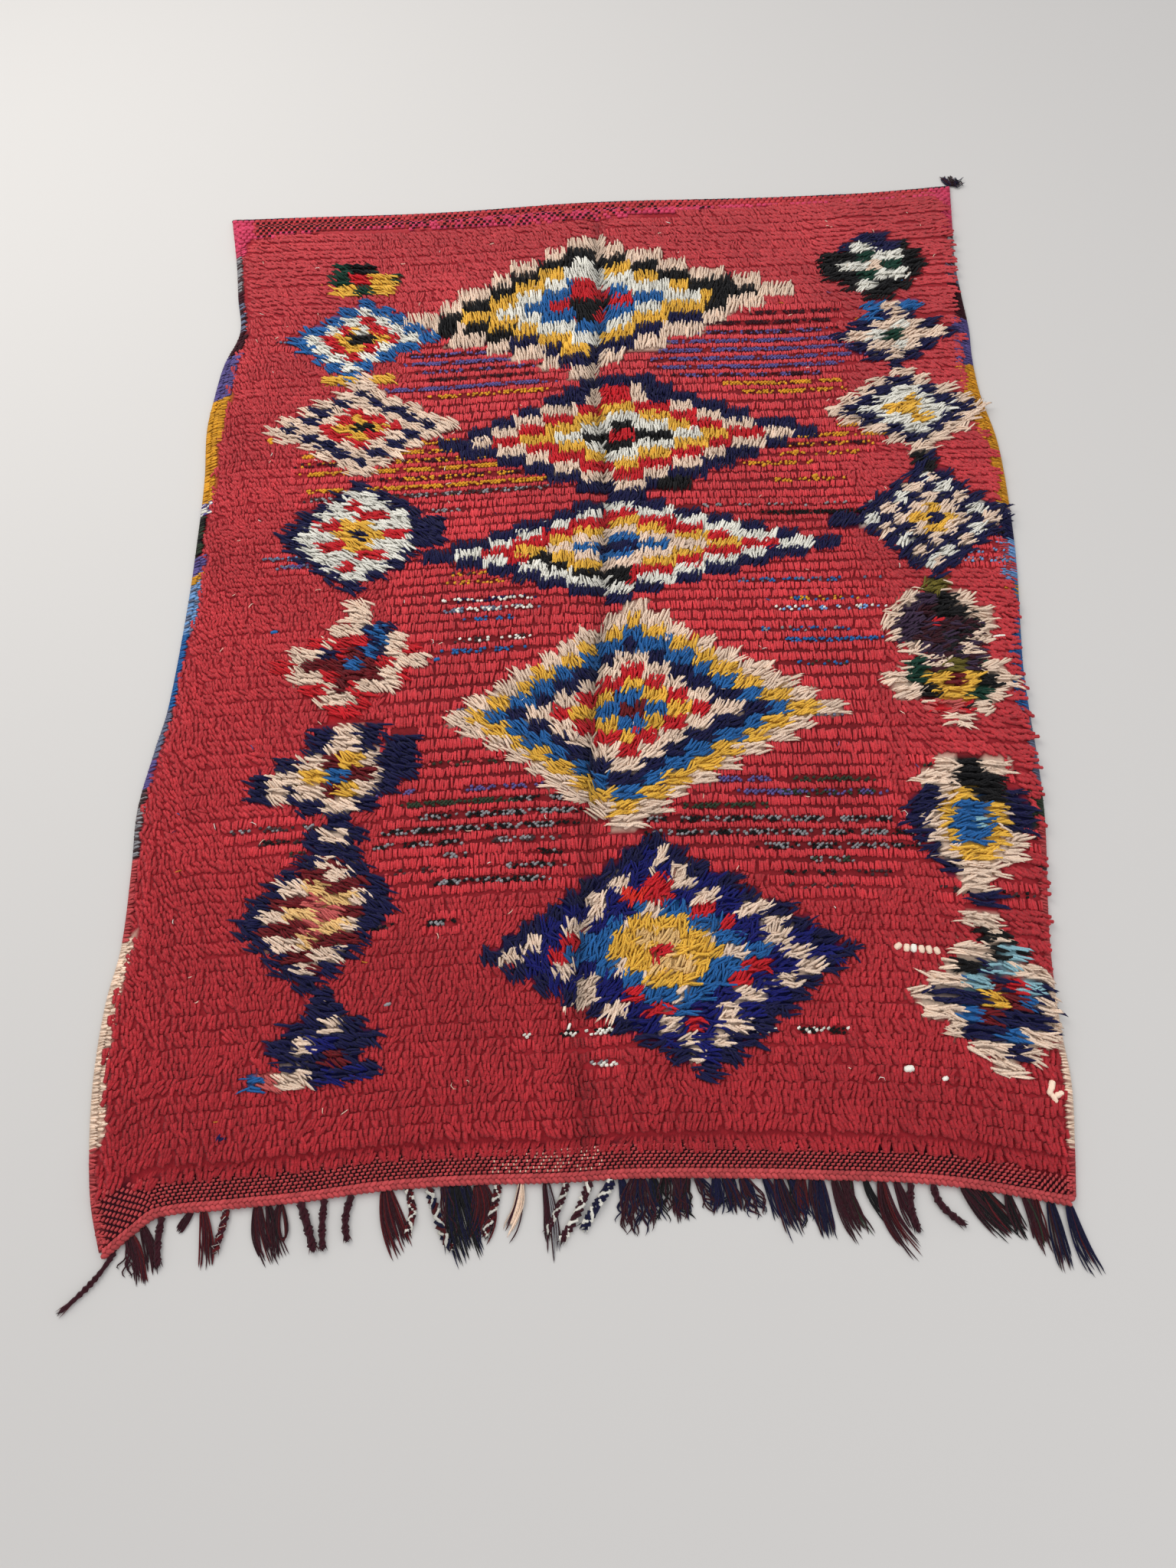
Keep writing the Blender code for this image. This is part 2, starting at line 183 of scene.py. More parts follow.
def addNode(nodes, kind, inputs=(), **values):
    node = nodes.new("ShaderNode" + kind)
    for name, value in values.items():
        setattr(node, name, value)
    for name, value in inputs:
        node.inputs[name].default_value = value
    return node


woolLooks = {
    "pile": {"roughness": 0.95, "sheen": 0.05, "patch": 5.0, "fleck": 420.0, "ply": 60.0, "bump": 0.0007},
    "shag": {"roughness": 0.88, "sheen": 0.04, "patch": 11.0, "fleck": 600.0, "ply": 95.0, "bump": 0.0006},
    "weft": {"roughness": 0.92, "sheen": 0.03, "patch": 14.0, "fleck": 700.0, "ply": 110.0, "bump": 0.0004},
    "cord": {"roughness": 0.88, "sheen": 0.05, "patch": 9.0, "fleck": 500.0, "ply": 80.0, "bump": 0.0007},
    "foot": {"roughness": 0.97, "sheen": 0.03, "patch": 7.0, "fleck": 300.0, "ply": 40.0, "bump": 0.0010},
}


def woolMaterial(name, look):
    material = bpy.data.materials.new(name)
    material.use_nodes = True
    nodes, links = material.node_tree.nodes, material.node_tree.links
    shader = nodes["Principled BSDF"]
    for socket, value in (("Roughness", look["roughness"]), ("Sheen Weight", look["sheen"]),
                          ("Sheen Roughness", 0.55), ("Specular IOR Level", 0.22)):
        shader.inputs[socket].default_value = value
    place = addNode(nodes, "TexCoord")
    colour = addNode(nodes, "Attribute", attribute_name="yarnColour")
    patch = addNode(nodes, "TexNoise", [("Scale", look["patch"]), ("Detail", 5.0)])  # uneven dyeing and fading
    patchValue = addNode(nodes, "MapRange", [("To Min", 0.78), ("To Max", 1.22)])
    fleck = addNode(nodes, "TexNoise", [("Scale", look["fleck"]), ("Detail", 2.0)])  # fibres catching the light
    fleckValue = addNode(nodes, "MapRange", [("To Min", 0.70), ("To Max", 1.30)])
    both = addNode(nodes, "Math", operation="MULTIPLY")
    shade = addNode(nodes, "HueSaturation")
    stretch = addNode(nodes, "Mapping", [("Scale", (1600.0, 120.0, 1.0))])  # fibres run along the yarn
    fibre = addNode(nodes, "TexNoise", [("Scale", 1.0), ("Detail", 3.0)])
    ply = addNode(nodes, "TexWave", [("Scale", look["ply"]), ("Distortion", 1.5)], wave_type="BANDS",
                  bands_direction="DIAGONAL")
    relief = addNode(nodes, "Math", operation="ADD")
    bump = addNode(nodes, "Bump", [("Strength", 0.8), ("Distance", look["bump"])])
    for source, output, target, socket in (
            (place, "Object", patch, "Vector"), (place, "Object", fleck, "Vector"),
            (patch, "Fac", patchValue, "Value"), (fleck, "Fac", fleckValue, "Value"),
            (patchValue, "Result", both, 0), (fleckValue, "Result", both, 1),
            (colour, "Color", shade, "Color"), (both, "Value", shade, "Value"),
            (shade, "Color", shader, "Base Color"), (place, "UV", stretch, "Vector"),
            (place, "UV", ply, "Vector"), (stretch, "Vector", fibre, "Vector"), (fibre, "Fac", relief, 0),
            (ply, "Fac", relief, 1), (relief, "Value", bump, "Height"), (bump, "Normal", shader, "Normal")):
        links.new(source.outputs[output], target.inputs[socket])
    return material


pileWool, shagWool, weftWool, cordWool, footWool = (
    woolMaterial(name + "Wool", woolLooks[name]) for name in ("pile", "shag", "weft", "cord", "foot"))


def yarnShape(sides, rings):
    # one closed yarn end, a long bead from pole to pole, that every yarn is a bent copy of
    bpy.ops.object.select_all(action="DESELECT")
    bpy.ops.mesh.primitive_uv_sphere_add(segments=sides, ring_count=rings + 1, radius=1.0,
                                         rotation=(0.0, 0.0, math.radians(90.0)))
    bead = bpy.context.object
    bpy.ops.object.transform_apply(rotation=True)
    bpy.ops.object.mode_set(mode="EDIT")
    bpy.ops.mesh.select_all(action="SELECT")
    bpy.ops.transform.resize(value=(1.0, 1.0, 0.5))
    bpy.ops.transform.translate(value=(0.0, 0.0, 0.5))
    bpy.ops.object.mode_set(mode="OBJECT")
    points = np.array([v.co for v in bead.data.vertices])
    heights = sorted(set(np.round(points[:, 2], 4)))
    ring = np.array([heights.index(h) for h in np.round(points[:, 2], 4)])
    reach = np.hypot(points[:, 0], points[:, 1])
    reach[reach < 1e-3] = np.inf
    faces = [list(p.vertices) for p in bead.data.polygons]
    bpy.data.objects.remove(bead, do_unlink=True)
    return {"ring": ring, "across": points[:, 0] / reach, "rise": points[:, 1] / reach,
            "turn": np.arctan2(points[:, 1], points[:, 0]) / (2 * math.pi) + 0.5,
            "faces": faces, "triangles": sum(len(f) - 2 for f in faces)}


def curved(start, bend, end, steps):
    # points along quadratic curves, one curve a row
    t = np.array(steps)[None, :, None]
    return (1 - t)**2 * start[:, None] + 2 * t * (1 - t) * bend[:, None] + t**2 * end[:, None]


def xyz(x, y, z):
    return np.stack(np.broadcast_arrays(x, y, z), axis=-1)


def stitch(x, y, z, dx, dy, dip, crest, steps):
    # a short arch that comes up out of the cloth and goes back in
    return curved(xyz(x - dx, y - dy, z - dip), xyz(x, y, z + crest), xyz(x + dx, y + dy, z - dip), steps)


def colourMesh(mesh, layer, uvs, tints):
    # smooth faces, and for every vertex its place on the yarn and its colour
    mesh.polygons.foreach_set("use_smooth", np.ones(len(mesh.polygons), bool))
    corners = np.empty(len(mesh.loops), np.int32)
    mesh.loops.foreach_get("vertex_index", corners)
    layer.data.foreach_set("uv", uvs[corners].ravel())
    colours = mesh.attributes.new("yarnColour", "FLOAT_COLOR", "POINT")
    colours.data.foreach_set("color", np.concatenate([tints, np.ones((len(tints), 1))], axis=1).ravel())


def finishPiece(piece, material, replaced=()):
    piece.data.materials.clear()
    piece.data.materials.append(material)
    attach(piece, "root")
    if replaced:
        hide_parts(*replaced)
    return piece


def yarnPiece(name, shape, paths, half, flat, colours, material, replaced=(), rootPaintedShade=1.0):
    # paths: yarns x points x 3; half widths: yarns x points; flat: height for width; colours: yarns x 3
    count, steps = paths.shape[:2]
    run = np.gradient(paths, axis=1)
    run /= np.linalg.norm(run, axis=2, keepdims=True) + 1e-9
    side = np.cross(run, (0.0, 0.0, 1.0))
    side /= np.linalg.norm(side, axis=2, keepdims=True) + 1e-9
    rise = np.cross(side, run)
    ring = shape["ring"]
    points = (paths[:, ring] - side[:, ring] * (shape["across"] * half[:, ring])[..., None]
              + rise[:, ring] * (shape["rise"] * (flat * half[:, ring]))[..., None])
    far = np.concatenate([np.zeros((count, 1)), np.linalg.norm(np.diff(paths, axis=1), axis=2).cumsum(1)], 1)
    around = shape["turn"] * (2 * math.pi * half.max(1))[:, None]
    uvs = np.stack([around, far[:, ring] + chance.uniform(0, 1, (count, 1))], axis=-1)
    # painted shade: each yarn's colour darkens towards its root, down to the given root share, for the shade deep
    # in the pile
    ramp = rootPaintedShade + (1 - rootPaintedShade) * np.sqrt(ring / (steps - 1))
    tints = (colours[:, None] * ramp[None, :, None]).reshape(-1, 3)
    mesh = bpy.data.meshes.new(name)
    offsets = np.arange(count)[:, None] * len(ring)
    faces = [yarn for face in shape["faces"] for yarn in (offsets + np.array(face)[None]).tolist()]
    mesh.from_pydata(points.reshape(-1, 3), [], faces)
    colourMesh(mesh, mesh.uv_layers.new(name="alongYarn"), uvs.reshape(-1, 2), tints)
    piece = bpy.data.objects.new(name, mesh)
    bpy.context.scene.collection.objects.link(piece)
    return finishPiece(piece, material, replaced)


mostTriangles = 190000  # in one piece


def yarnPieces(name, shape, paths, half, flat, colours, material, rootPaintedShade):
    # as many pieces as it takes to keep each one under the limit, split along the rug
    order = np.argsort(paths[:, 0, 1])
    parts = int(math.ceil(len(paths) * shape["triangles"] / mostTriangles))
    made = []
    for i, part in enumerate(np.array_split(order, parts)):
        label = name if parts == 1 else f"{name}{i + 1}"
        made.append(yarnPiece(label, shape, paths[part], half[part], flat, colours[part], material,
                              rootPaintedShade=rootPaintedShade))
    return made


tuftEnd, roundBead = yarnShape(3, 2), yarnShape(6, 3)
tuftSteps, beadSteps = (0.0, 0.2, 0.8, 1.0), (0.0, 0.15, 0.5, 0.85, 1.0)  # where a curve's points lie
beadForm = np.array([[1, 0.85, 1.1, 0.85, 1]])
print("yarn shapes ready:", tuftEnd["triangles"], roundBead["triangles"], "triangles each")


# the lozenges: rows counted from the middle one, rings from the outline inwards, steps in metres, and how
# the long pile lies. A mark is (left, right, lowest row, highest row, yarn), and old>new dyes only the old yarns
motifs = [
    dict(name="centre1", at=(-0.035, 0.732), rows=6, row=0.032, left=0.0565, right=0.0657,
         rings="cream black mustard white blue red black", slope=0.07, lay=90, fan=-16, spread=13, end=0.04,
         both=0.0, marks=[(-0.4, -0.1, -6, -3, "black>navy"), (-0.12, 0.45, -6, -2, "black>navy"),
         (-0.03, 0.045, 3, 5, "mustard>white"), (0.1, 0.19, 3, 4, "mustard>black"),
         (-0.02, 0.02, -1, 0, "black"), (-0.022, 0.024, 1, 2, "red"), (-0.3, -0.262, -1, 0, "black"),
         (0.262, 0.31, 0, 1, "black")]),
    dict(name="centre2", at=(0.025, 0.363), rows=6, row=0.0245, left=0.0546, right=0.0587,
         rings="navy cream red mustard white black red", lay=88, fan=-12, spread=15, end=0.031, both=0.25,
         marks=[(-0.14, -0.06, 4, 4, "navy"), (0.06, 0.15, 4, 4, "navy"), (-0.06, 0.06, 4, 5, "cream"),
         (-0.1, -0.05, 5, 5, "navy"), (0.05, 0.11, 5, 5, "navy"), (-0.03, 0.03, 4, 5, "red"),
         (-0.07, 0.08, 6, 6, "navy"), (0.06, 0.12, -5, -5, "black")]),
    dict(name="centre3", at=(0.0095, 0.091), rows=6, row=0.0187, left=0.0538, right=0.0603,
         rings="navy white red mustard cream blue navy", lay=76, fan=-22, spread=20, end=0.03, both=0.2,
         marks=[(-0.165, -0.09, -2, -1, "red>black"), (-0.1, 0.02, -5, -3, "red>black"),
         (-0.03, 0.06, -4, -3, "mustard>black")]),
    dict(name="centre4", at=(0.007, -0.255), rows=8, row=0.0258, left=0.0347, right=0.0415,
         rings="cream mustard blue navy cream red mustard blue maroon", lay=84, fan=-75, spread=24, end=0.035,
         both=0.15, down=0.9),
    dict(name="centre5", at=(0.041, -0.676), rows=8, row=0.022, left=0.0311, right=0.0344,
         rings="navy cream/royal cream/royal red/royal blue blue/cream mustard mustard paleYellow",
         lean=(-0.02, 0.055), blocks=2, lay=60, fan=-60, spread=42, end=0.034, both=0.3, down=0.8,
         marks=[(-0.07, 0.072, 0, 1, "blue/cream>mustard"), (-0.058, 0.066, -1, -1, "blue/cream>mustard"),
         (-0.046, 0.042, 2, 2, "blue/cream>mustard"), (-0.034, 0.04, -2, -2, "blue/cream>mustard"),
         (-0.06, -0.018, 4, 4, "orangeRed"), (-0.022, 0.02, 4, 5, "red"), (-0.012, 0.012, 0, 0, "red"),
         (-0.035, 0.03, 1, 1, "paleYellow"), (-0.02, 0.045, -1, -1, "paleYellow")]),
    dict(name="left0", at=(-0.51, 0.828), rows=1, row=0.034, left=0.048, right=0.048, rings="green red",
         round=2.0, lay=150, spread=28, end=0.034, marks=[(-0.06, -0.01, -1, -1, "mustard"),
         (0.02, 0.07, -1, 0, "mustard"), (-0.02, 0.03, 1, 1, "black")]),
    dict(name="left1", at=(-0.5, 0.646), rows=4, row=0.0262, left=0.0317, right=0.0339,
         rings="blue white red mustard black", lay=140, fan=-12, spread=20, end=0.037,
         marks=[(-0.02, 0.03, 0, 0, "black"), (-0.012, 0.012, 1, 1, "white")]),
    dict(name="left2", at=(-0.484, 0.398), rows=5, row=0.0222, left=0.0327, right=0.0338,
         rings="cream navy cream red mustard black", lay=146, fan=-10, spread=20, end=0.037,
         marks=[(-0.08, 0.06, 6, 6, "mustard"), (-0.018, 0.02, 6, 6, "cream")]),
    dict(name="left3", at=(-0.467, 0.131), rows=5, row=0.0232, left=0.0245, right=0.0262,
         rings="navy white red/white white/red mustard navy", round=1.4, lay=150, fan=-8, spread=20, end=0.037,
         marks=[(0.1, 0.155, -1, 1, "navy")]),
    dict(name="left4", at=(-0.455, -0.15), rows=4, row=0.0235, left=0.0294, right=0.0294,
         rings="cream/red cream red/maroon maroon blue", lay=150, fan=-8, spread=22, end=0.036,
         marks=[(-0.02, 0.02, 4, 5, "cream"), (0.01, 0.06, 1, 3, "navy/blue"), (-0.06, -0.03, 1, 1, "navy"),
         (0.055, 0.085, 1, 2, "cream"), (-0.02, 0.03, -4, -4, "red"), (-0.04, 0.02, 2, 2, "red")]),
    dict(name="left5", at=(-0.461, -0.365), rows=3, row=0.027, left=0.0343, right=0.0343,
         rings="navy cream maroon/mustard blue", round=1.3, lay=152, spread=22, end=0.034,
         marks=[(-0.06, 0.06, 3, 3, "navy"), (-0.02, 0.02, 3, 3, "cream"), (0.07, 0.122, 0, 2, "navy"),
         (-0.14, -0.1, -1, 0, "navy"), (-0.11, -0.08, -1, 0, "cream"), (-0.035, 0.035, -6, -5, "navy"),
         (-0.05, 0.05, -4, -4, "navy"), (-0.02, 0.02, -4, -4, "cream")]),
    dict(name="left6", at=(-0.468, -0.602), rows=5, row=0.0218, left=0.0212, right=0.0202,
         rings="navy cream/maroon maroon/cream paleYellow/maroon coral/paleYellow coral", round=1.35, lay=154,
         spread=24, end=0.038, marks=[(0.064, 0.09, -1, 2, "navy"), (-0.118, -0.088, -1, 0, "navy")]),
    dict(name="left7", at=(-0.448, -0.8), rows=2, row=0.0235, left=0.0288, right=0.0288,
         rings="navy cream/navy royal", round=1.6, lay=160, spread=26, end=0.034,
         marks=[(-0.05, 0.08, -2, -2, "navy/royal"), (-0.07, -0.02, -2, -2, "cream"),
         (0.0, 0.035, -1, -1, "maroon"), (-0.09, -0.07, -2, -2, "coral"), (-0.105, -0.09, -2, -2, "blue"),
         (-0.02, 0.01, 3, 3, "navy")]),
    dict(name="right1", at=(0.571, 0.828), rows=3, row=0.03, left=0.032, right=0.0309,
         rings="black white/black green/white cream", round=1.9, lay=35, spread=30, end=0.034, both=0.4,
         marks=[(-0.07, 0.06, 2, 3, "black>navy"), (-0.11, -0.08, -1, 1, "black")]),
    dict(name="right2", at=(0.585, 0.617), rows=3, row=0.0285, left=0.0343, right=0.032,
         rings="navy cream cream/white green", lay=22, spread=26, end=0.038, both=0.4,
         marks=[(-0.055, 0.055, 3, 3, "blue"), (-0.02, 0.02, 3, 3, "cream"), (-0.06, -0.03, 2, 2, "blue"),
         (0.07, 0.1, 0, 0, "cream"), (-0.1, -0.06, 0, 0, "cream")]),
    dict(name="right3", at=(0.58, 0.411), rows=4, row=0.025, left=0.0339, right=0.0333,
         rings="cream navy white mustard/white mustard", round=1.2, lay=26, spread=28, end=0.038, both=0.4),
    dict(name="right4", at=(0.579, 0.136), rows=5, row=0.0248, left=0.0267, right=0.0273,
         rings="navy white/cream navy cream mustard navy", lay=40, fan=-10, spread=26, end=0.036, both=0.3,
         marks=[(-0.185, -0.145, 0, 0, "navy"), (0.13, 0.155, 0, 1, "navy"),
         (-0.02, 0.02, 5, 6, "black/navy")]),
    dict(name="right5a", at=(0.548, -0.098), rows=3, row=0.0262, left=0.0263, right=0.028,
         rings="cream plum wine/plum red", round=1.8, lay=20, fan=-22, spread=34, end=0.034, both=0.35,
         marks=[(0.0, 0.09, -2, 3, "plum>black"), (-0.02, 0.02, 3, 3, "olive")]),
    dict(name="right5b", at=(0.558, -0.213), rows=3, row=0.027, left=0.032, right=0.0297,
         rings="cream green/black mustard maroon", round=1.3, lay=4, fan=-18, spread=32, end=0.038, both=0.3,
         marks=[(-0.045, 0.045, 1, 4, "wine/plum"), (-0.05, 0.02, -2, -2, "coral/red"),
         (-0.08, -0.045, 1, 1, "green"), (-0.02, 0.02, 1, 1, "olive")]),
    dict(name="right6", at=(0.54, -0.48), rows=4, row=0.0255, left=0.0222, right=0.0205,
         rings="navy cream mustard blue aqua/blue", round=1.7, lay=2, fan=-16, spread=28, end=0.038, both=0.25,
         marks=[(-0.02, 0.14, -5, -1, "navy>cream"), (-0.02, 0.14, 3, 5, "navy>cream"),
         (-0.05, 0.06, 4, 4, "cream"), (-0.02, 0.02, 3, 4, "black"), (0.0, 0.05, 2, 3, "black"),
         (-0.08, -0.02, 3, 3, "cream"), (0.0, 0.04, -5, -5, "navy"), (0.052, 0.074, 0, 2, "navy"),
         (-0.07, -0.05, 1, 2, "navy")]),
    dict(name="right7", at=(0.52, -0.764), rows=4, row=0.0245, left=0.0261, right=0.025,
         rings="cream navy/cream blue/navy navy/maroon mustard", round=1.3, lay=-14, fan=-12, spread=26,
         end=0.038, both=0.25, marks=[(-0.04, 0.01, 5, 5, "cream"), (-0.02, 0.03, 4, 4, "black/cream"),
         (-0.06, -0.02, 2, 2, "black"), (-0.05, -0.01, 3, 3, "cream"), (0.0, 0.045, 3, 3, "black/aqua"),
         (-0.01, 0.03, 2, 2, "aqua/slate"), (-0.04, -0.01, 1, 1, "aqua"), (0.05, 0.085, 0, 1, "cream/navy"),
         (0.02, 0.06, 1, 1, "aqua/red")]),
]


def motifBook(motif):
    # for each row, side and ring: the unsteady edge of the block and the number of its yarn
    rows, names = motif["rows"], motif["rings"].split()
    motif["edge"] = chance.uniform(-0.24, 0.24, (2 * rows + 1, 2, rows + 2))
    motif["yarn"] = np.zeros((2 * rows + 1, 2, rows + 1), int)
    for k in range(-rows, rows + 1):
        for side in (0, 1):
            for ring in range(rows + 1):
                name = names[min(ring, len(names) - 1)]
                pick = (k // motif.get("blocks", 1) + ring + side) % 2
                motif["yarn"][k + rows, side, ring] = yarnPair(name, pick)


for motif in motifs:
    motifBook(motif)
    place = np.array([motif["at"]])
    motif["u"], motif["v"] = (float(a[0]) for a in offRug(place[:, 0], place[:, 1]))
    motif["width"], motif["length"] = float(widthAt(motif["v"])), float(lengthAt(motif["u"]))


def yarnAt(motif, u, v):
    # which yarn a motif has at each place, or -1 where the place isn't the motif's
    dx, dy = (u - motif["u"]) * motif["width"], (v - motif["v"]) * motif["length"]
    rows = motif["rows"]
    k = np.round((dy - motif.get("slope", 0.0) * dx) / motif["row"]).astype(int)
    leanUp, leanDown = motif.get("lean", (0.0, 0.0))
    dx = dx - np.where(k > 0, leanUp, -leanDown) * np.clip(k / rows, -1, 1)
    inside = np.abs(k) <= rows
    row = np.clip(k, -rows, rows)
    side = (dx > 0).astype(int)
    step = np.where(side, motif["right"], motif["left"])
    reach = (rows + 0.5) * (1.0 - (np.abs(row) / (rows + 0.5)) ** motif.get("round", 1.0))
    depth = reach - np.abs(dx) / step
    ring = np.full(np.shape(u), -1)
    for r in range(rows + 1):
        ring = np.where(depth > r + motif["edge"][row + rows, side, r], r, ring)
    inside &= ring >= 0
    ring = np.clip(np.minimum(ring, rows - np.abs(row)), 0, rows)
    yarn = np.where(inside, motif["yarn"][row + rows, side, ring], -1)
    flip = (k + np.floor(dx / 0.02).astype(int)) % 2 == 1
    for left, right, lowest, highest, name in motif.get("marks", []):
        here = (dx > left) & (dx < right) & (k >= lowest) & (k <= highest)
        if ">" in name:
            old, name = name.split(">")
            here &= np.isin(yarn, [yarnNumber(n) for n in old.split("/")])
        yarn = np.where(here, yarnPair(name, flip), yarn)
    return yarn


def motifYarn(u, v):
    found = np.full(np.shape(u), -1)
    for motif in motifs:
        mine = yarnAt(motif, u, v)
        found = np.where(mine >= 0, mine, found)
    return found


# the selvedge: from and to along the length, yarn, width of the bare edge
selvedges = {
    "left": [(0.0, 0.062, "braidRed", 0.006), (0.062, 0.204, "cream", 0.02), (0.204, 0.27, "braidRed", 0.008),
        (0.27, 0.327, "grey/brown", 0.012), (0.327, 0.354, "lilac", 0.014), (0.354, 0.397, "slate", 0.01),
        (0.397, 0.471, "blue", 0.014), (0.471, 0.523, "sky/slate", 0.02), (0.523, 0.531, "gold", 0.02),
        (0.531, 0.55, "lilac", 0.022), (0.55, 0.595, "black/moss", 0.014), (0.595, 0.612, "lilac/white", 0.018),
        (0.612, 0.68, "gold", 0.026), (0.68, 0.736, "gold", 0.04), (0.736, 0.793, "lilac", 0.034),
        (0.793, 0.824, "wine", 0.026), (0.824, 0.885, "slate/wine", 0.012), (0.885, 0.94, "grey/brown", 0.012),
        (0.94, 1.001, "pink", 0.026)],
    "right": [(0.0, 0.029, "braidRed", 0.006), (0.029, 0.14, "cream", 0.014), (0.14, 0.219, "braidRed", 0.006),
        (0.219, 0.228, "grey/brown", 0.01), (0.228, 0.257, "braidRed", 0.008), (0.257, 0.287, "moss", 0.018),
        (0.287, 0.355, "slate", 0.012), (0.355, 0.429, "blue", 0.018), (0.429, 0.469, "slate/blue", 0.014),
        (0.469, 0.481, "gold/blue", 0.02), (0.481, 0.525, "sky/rose", 0.036), (0.525, 0.554, "navy", 0.03),
        (0.554, 0.564, "lilac/white", 0.02), (0.564, 0.64, "gold", 0.026), (0.64, 0.735, "gold", 0.04),
        (0.735, 0.797, "lilac", 0.036), (0.797, 0.849, "wine", 0.03), (0.849, 0.875, "slate", 0.022),
        (0.875, 0.925, "grey/brown", 0.012), (0.925, 1.001, "pink", 0.03)],
}


def selvedgeAt(table, v, pick):
    # the yarn and the bare width at each place along a side; pick chooses from a pair
    yarn, wide = np.zeros(np.shape(v), int), np.full(np.shape(v), 0.01)
    for start, stop, name, width in table:
        here = (v >= start) & (v < stop)
        yarn = np.where(here, yarnPair(name, pick), yarn)
        wide = np.where(here, 0.8 * width, wide)
    return yarn, wide


# the field: how the rows are spaced, and how worn the pile is
field = {
    "rowPitch": np.array([(-1.10, 0.024), (-0.90, 0.0235), (-0.68, 0.022), (-0.45, 0.024), (-0.255, 0.0258),
                          (-0.05, 0.021), (0.09, 0.0187), (0.22, 0.021), (0.36, 0.0245), (0.55, 0.0240),
                          (0.74, 0.0300), (0.95, 0.0280), (1.15, 0.0280)]),
    "knotPitch": np.array([(-1.10, 0.0105), (-0.50, 0.0100), (0.10, 0.0090), (0.60, 0.0078), (1.15, 0.0080)]),
    "strands": (0.18, 0.70, 0.36, 0.86),  # where the four yarns of a knot stand, side by side
    "length": 0.66, "half": 0.38, "tall": 0.0032,  # parts of the row, of the knot, and metres
    "wornFrom": 0.45, "wornStrands": 3, "wornLength": 0.97, "wornHalf": 0.27, "wornTall": 0.0042,
    # the crease share sets how far the pile's colour is darkened along the fold, painted shade
    "weftRoom": 0.0050, "flat": 0.62, "crease": 0.40,
}


def pitchAt(table, v):
    # the spacing at a part of the length, from a table that goes by metres along the floor
    return float(np.interp(v * 2.1 - 1.02, table[:, 0], table[:, 1]))


rowPlaces = []
v = weave["lowBand"] / weave["length"] + 0.004
while v < 0.995:
    rowPlaces.append(v)
    v += pitchAt(field["rowPitch"], v) / weave["length"]
rowPlaces = np.array(rowPlaces)
rowSteps = np.gradient(rowPlaces) * weave["length"]


def highBandDepth(u):
    # the pink woven end is deep at the left corner and narrows to the right
    return np.interp(u, [0.0, 0.02, 0.12, 0.27, 0.42, 0.60, 0.74, 0.9, 0.97, 1.0],
                     [0.110, 0.085, 0.060, 0.062, 0.076, 0.056, 0.028, 0.024, 0.026, 0.10])


def lowBandDepth(u):
    return np.interp(u, [0.0, 0.02, 0.06, 0.15, 0.5, 0.88, 0.95, 1.0],
                     [0.070, 0.055, 0.032, 0.032, 0.034, 0.030, 0.026, 0.022])


def makeFoot():
    # the woven ground: one closed cloth, flat below, with the height of the frame's own body less the pile
    look = {"columns": 100, "rows": 140}
    bpy.ops.object.select_all(action="DESELECT")
    bpy.ops.mesh.primitive_grid_add(x_subdivisions=look["columns"], y_subdivisions=look["rows"], size=1.0)
    piece = bpy.context.object
    piece.name = piece.data.name = "wovenGround"
    bpy.ops.object.mode_set(mode="EDIT")
    bpy.ops.mesh.select_all(action="SELECT")
    bpy.ops.mesh.extrude_region_move(TRANSFORM_OT_translate={"value": (0.0, 0.0, 1.0)})
    bpy.ops.mesh.select_all(action="SELECT")
    bpy.ops.mesh.normals_make_consistent(inside=False)
    bpy.ops.object.mode_set(mode="OBJECT")
    mesh = piece.data
    flat = np.empty(len(mesh.vertices) * 3)
    mesh.vertices.foreach_get("co", flat)
    flat = flat.reshape(-1, 3)
    u, v, upper = flat[:, 0] + 0.5, flat[:, 1] + 0.5, flat[:, 2] > 0.5
    x, y = onRug(u, v)
    mesh.vertices.foreach_set("co", xyz(x, y, np.where(upper, footTop(u, v), 0.0)).ravel())
    yarn = motifYarn(u, v)
    # painted shade: where the pile is worn the foot is darker, for the shade in the deeper gaps between the rows
    footColourWithPaintedShade = yarns["foot"] * (1 - 0.52 * wornShare(x, y))[:, None]
    # painted shade: under the lozenges, the pink end and the selvedges the foot takes a darker copy of the yarn
    # above it
    tint = np.where((yarn >= 0)[:, None], palette[yarn] * 0.75, footColourWithPaintedShade)
    tint = np.where((v * weave["length"] < lowBandDepth(u))[:, None], yarns["wine"], tint)
    tint = np.where(((1 - v) * weave["length"] < highBandDepth(u))[:, None], yarns["rose"] * 0.8, tint)
    for side, away in (("left", u), ("right", 1 - u)):
        edgeYarn, wide = selvedgeAt(selvedges[side], v, np.ones(len(v), bool))
        tint = np.where((away * widthAt(v) < wide)[:, None], palette[edgeYarn] * 0.6, tint)
    mesh.update()
    colourMesh(mesh, mesh.uv_layers.active, np.stack([x, y], -1), tint)
    bpy.context.view_layer.update()
    return finishPiece(piece, footWool, ["rug_body"])


ground = makeFoot()
print("woven ground laid")


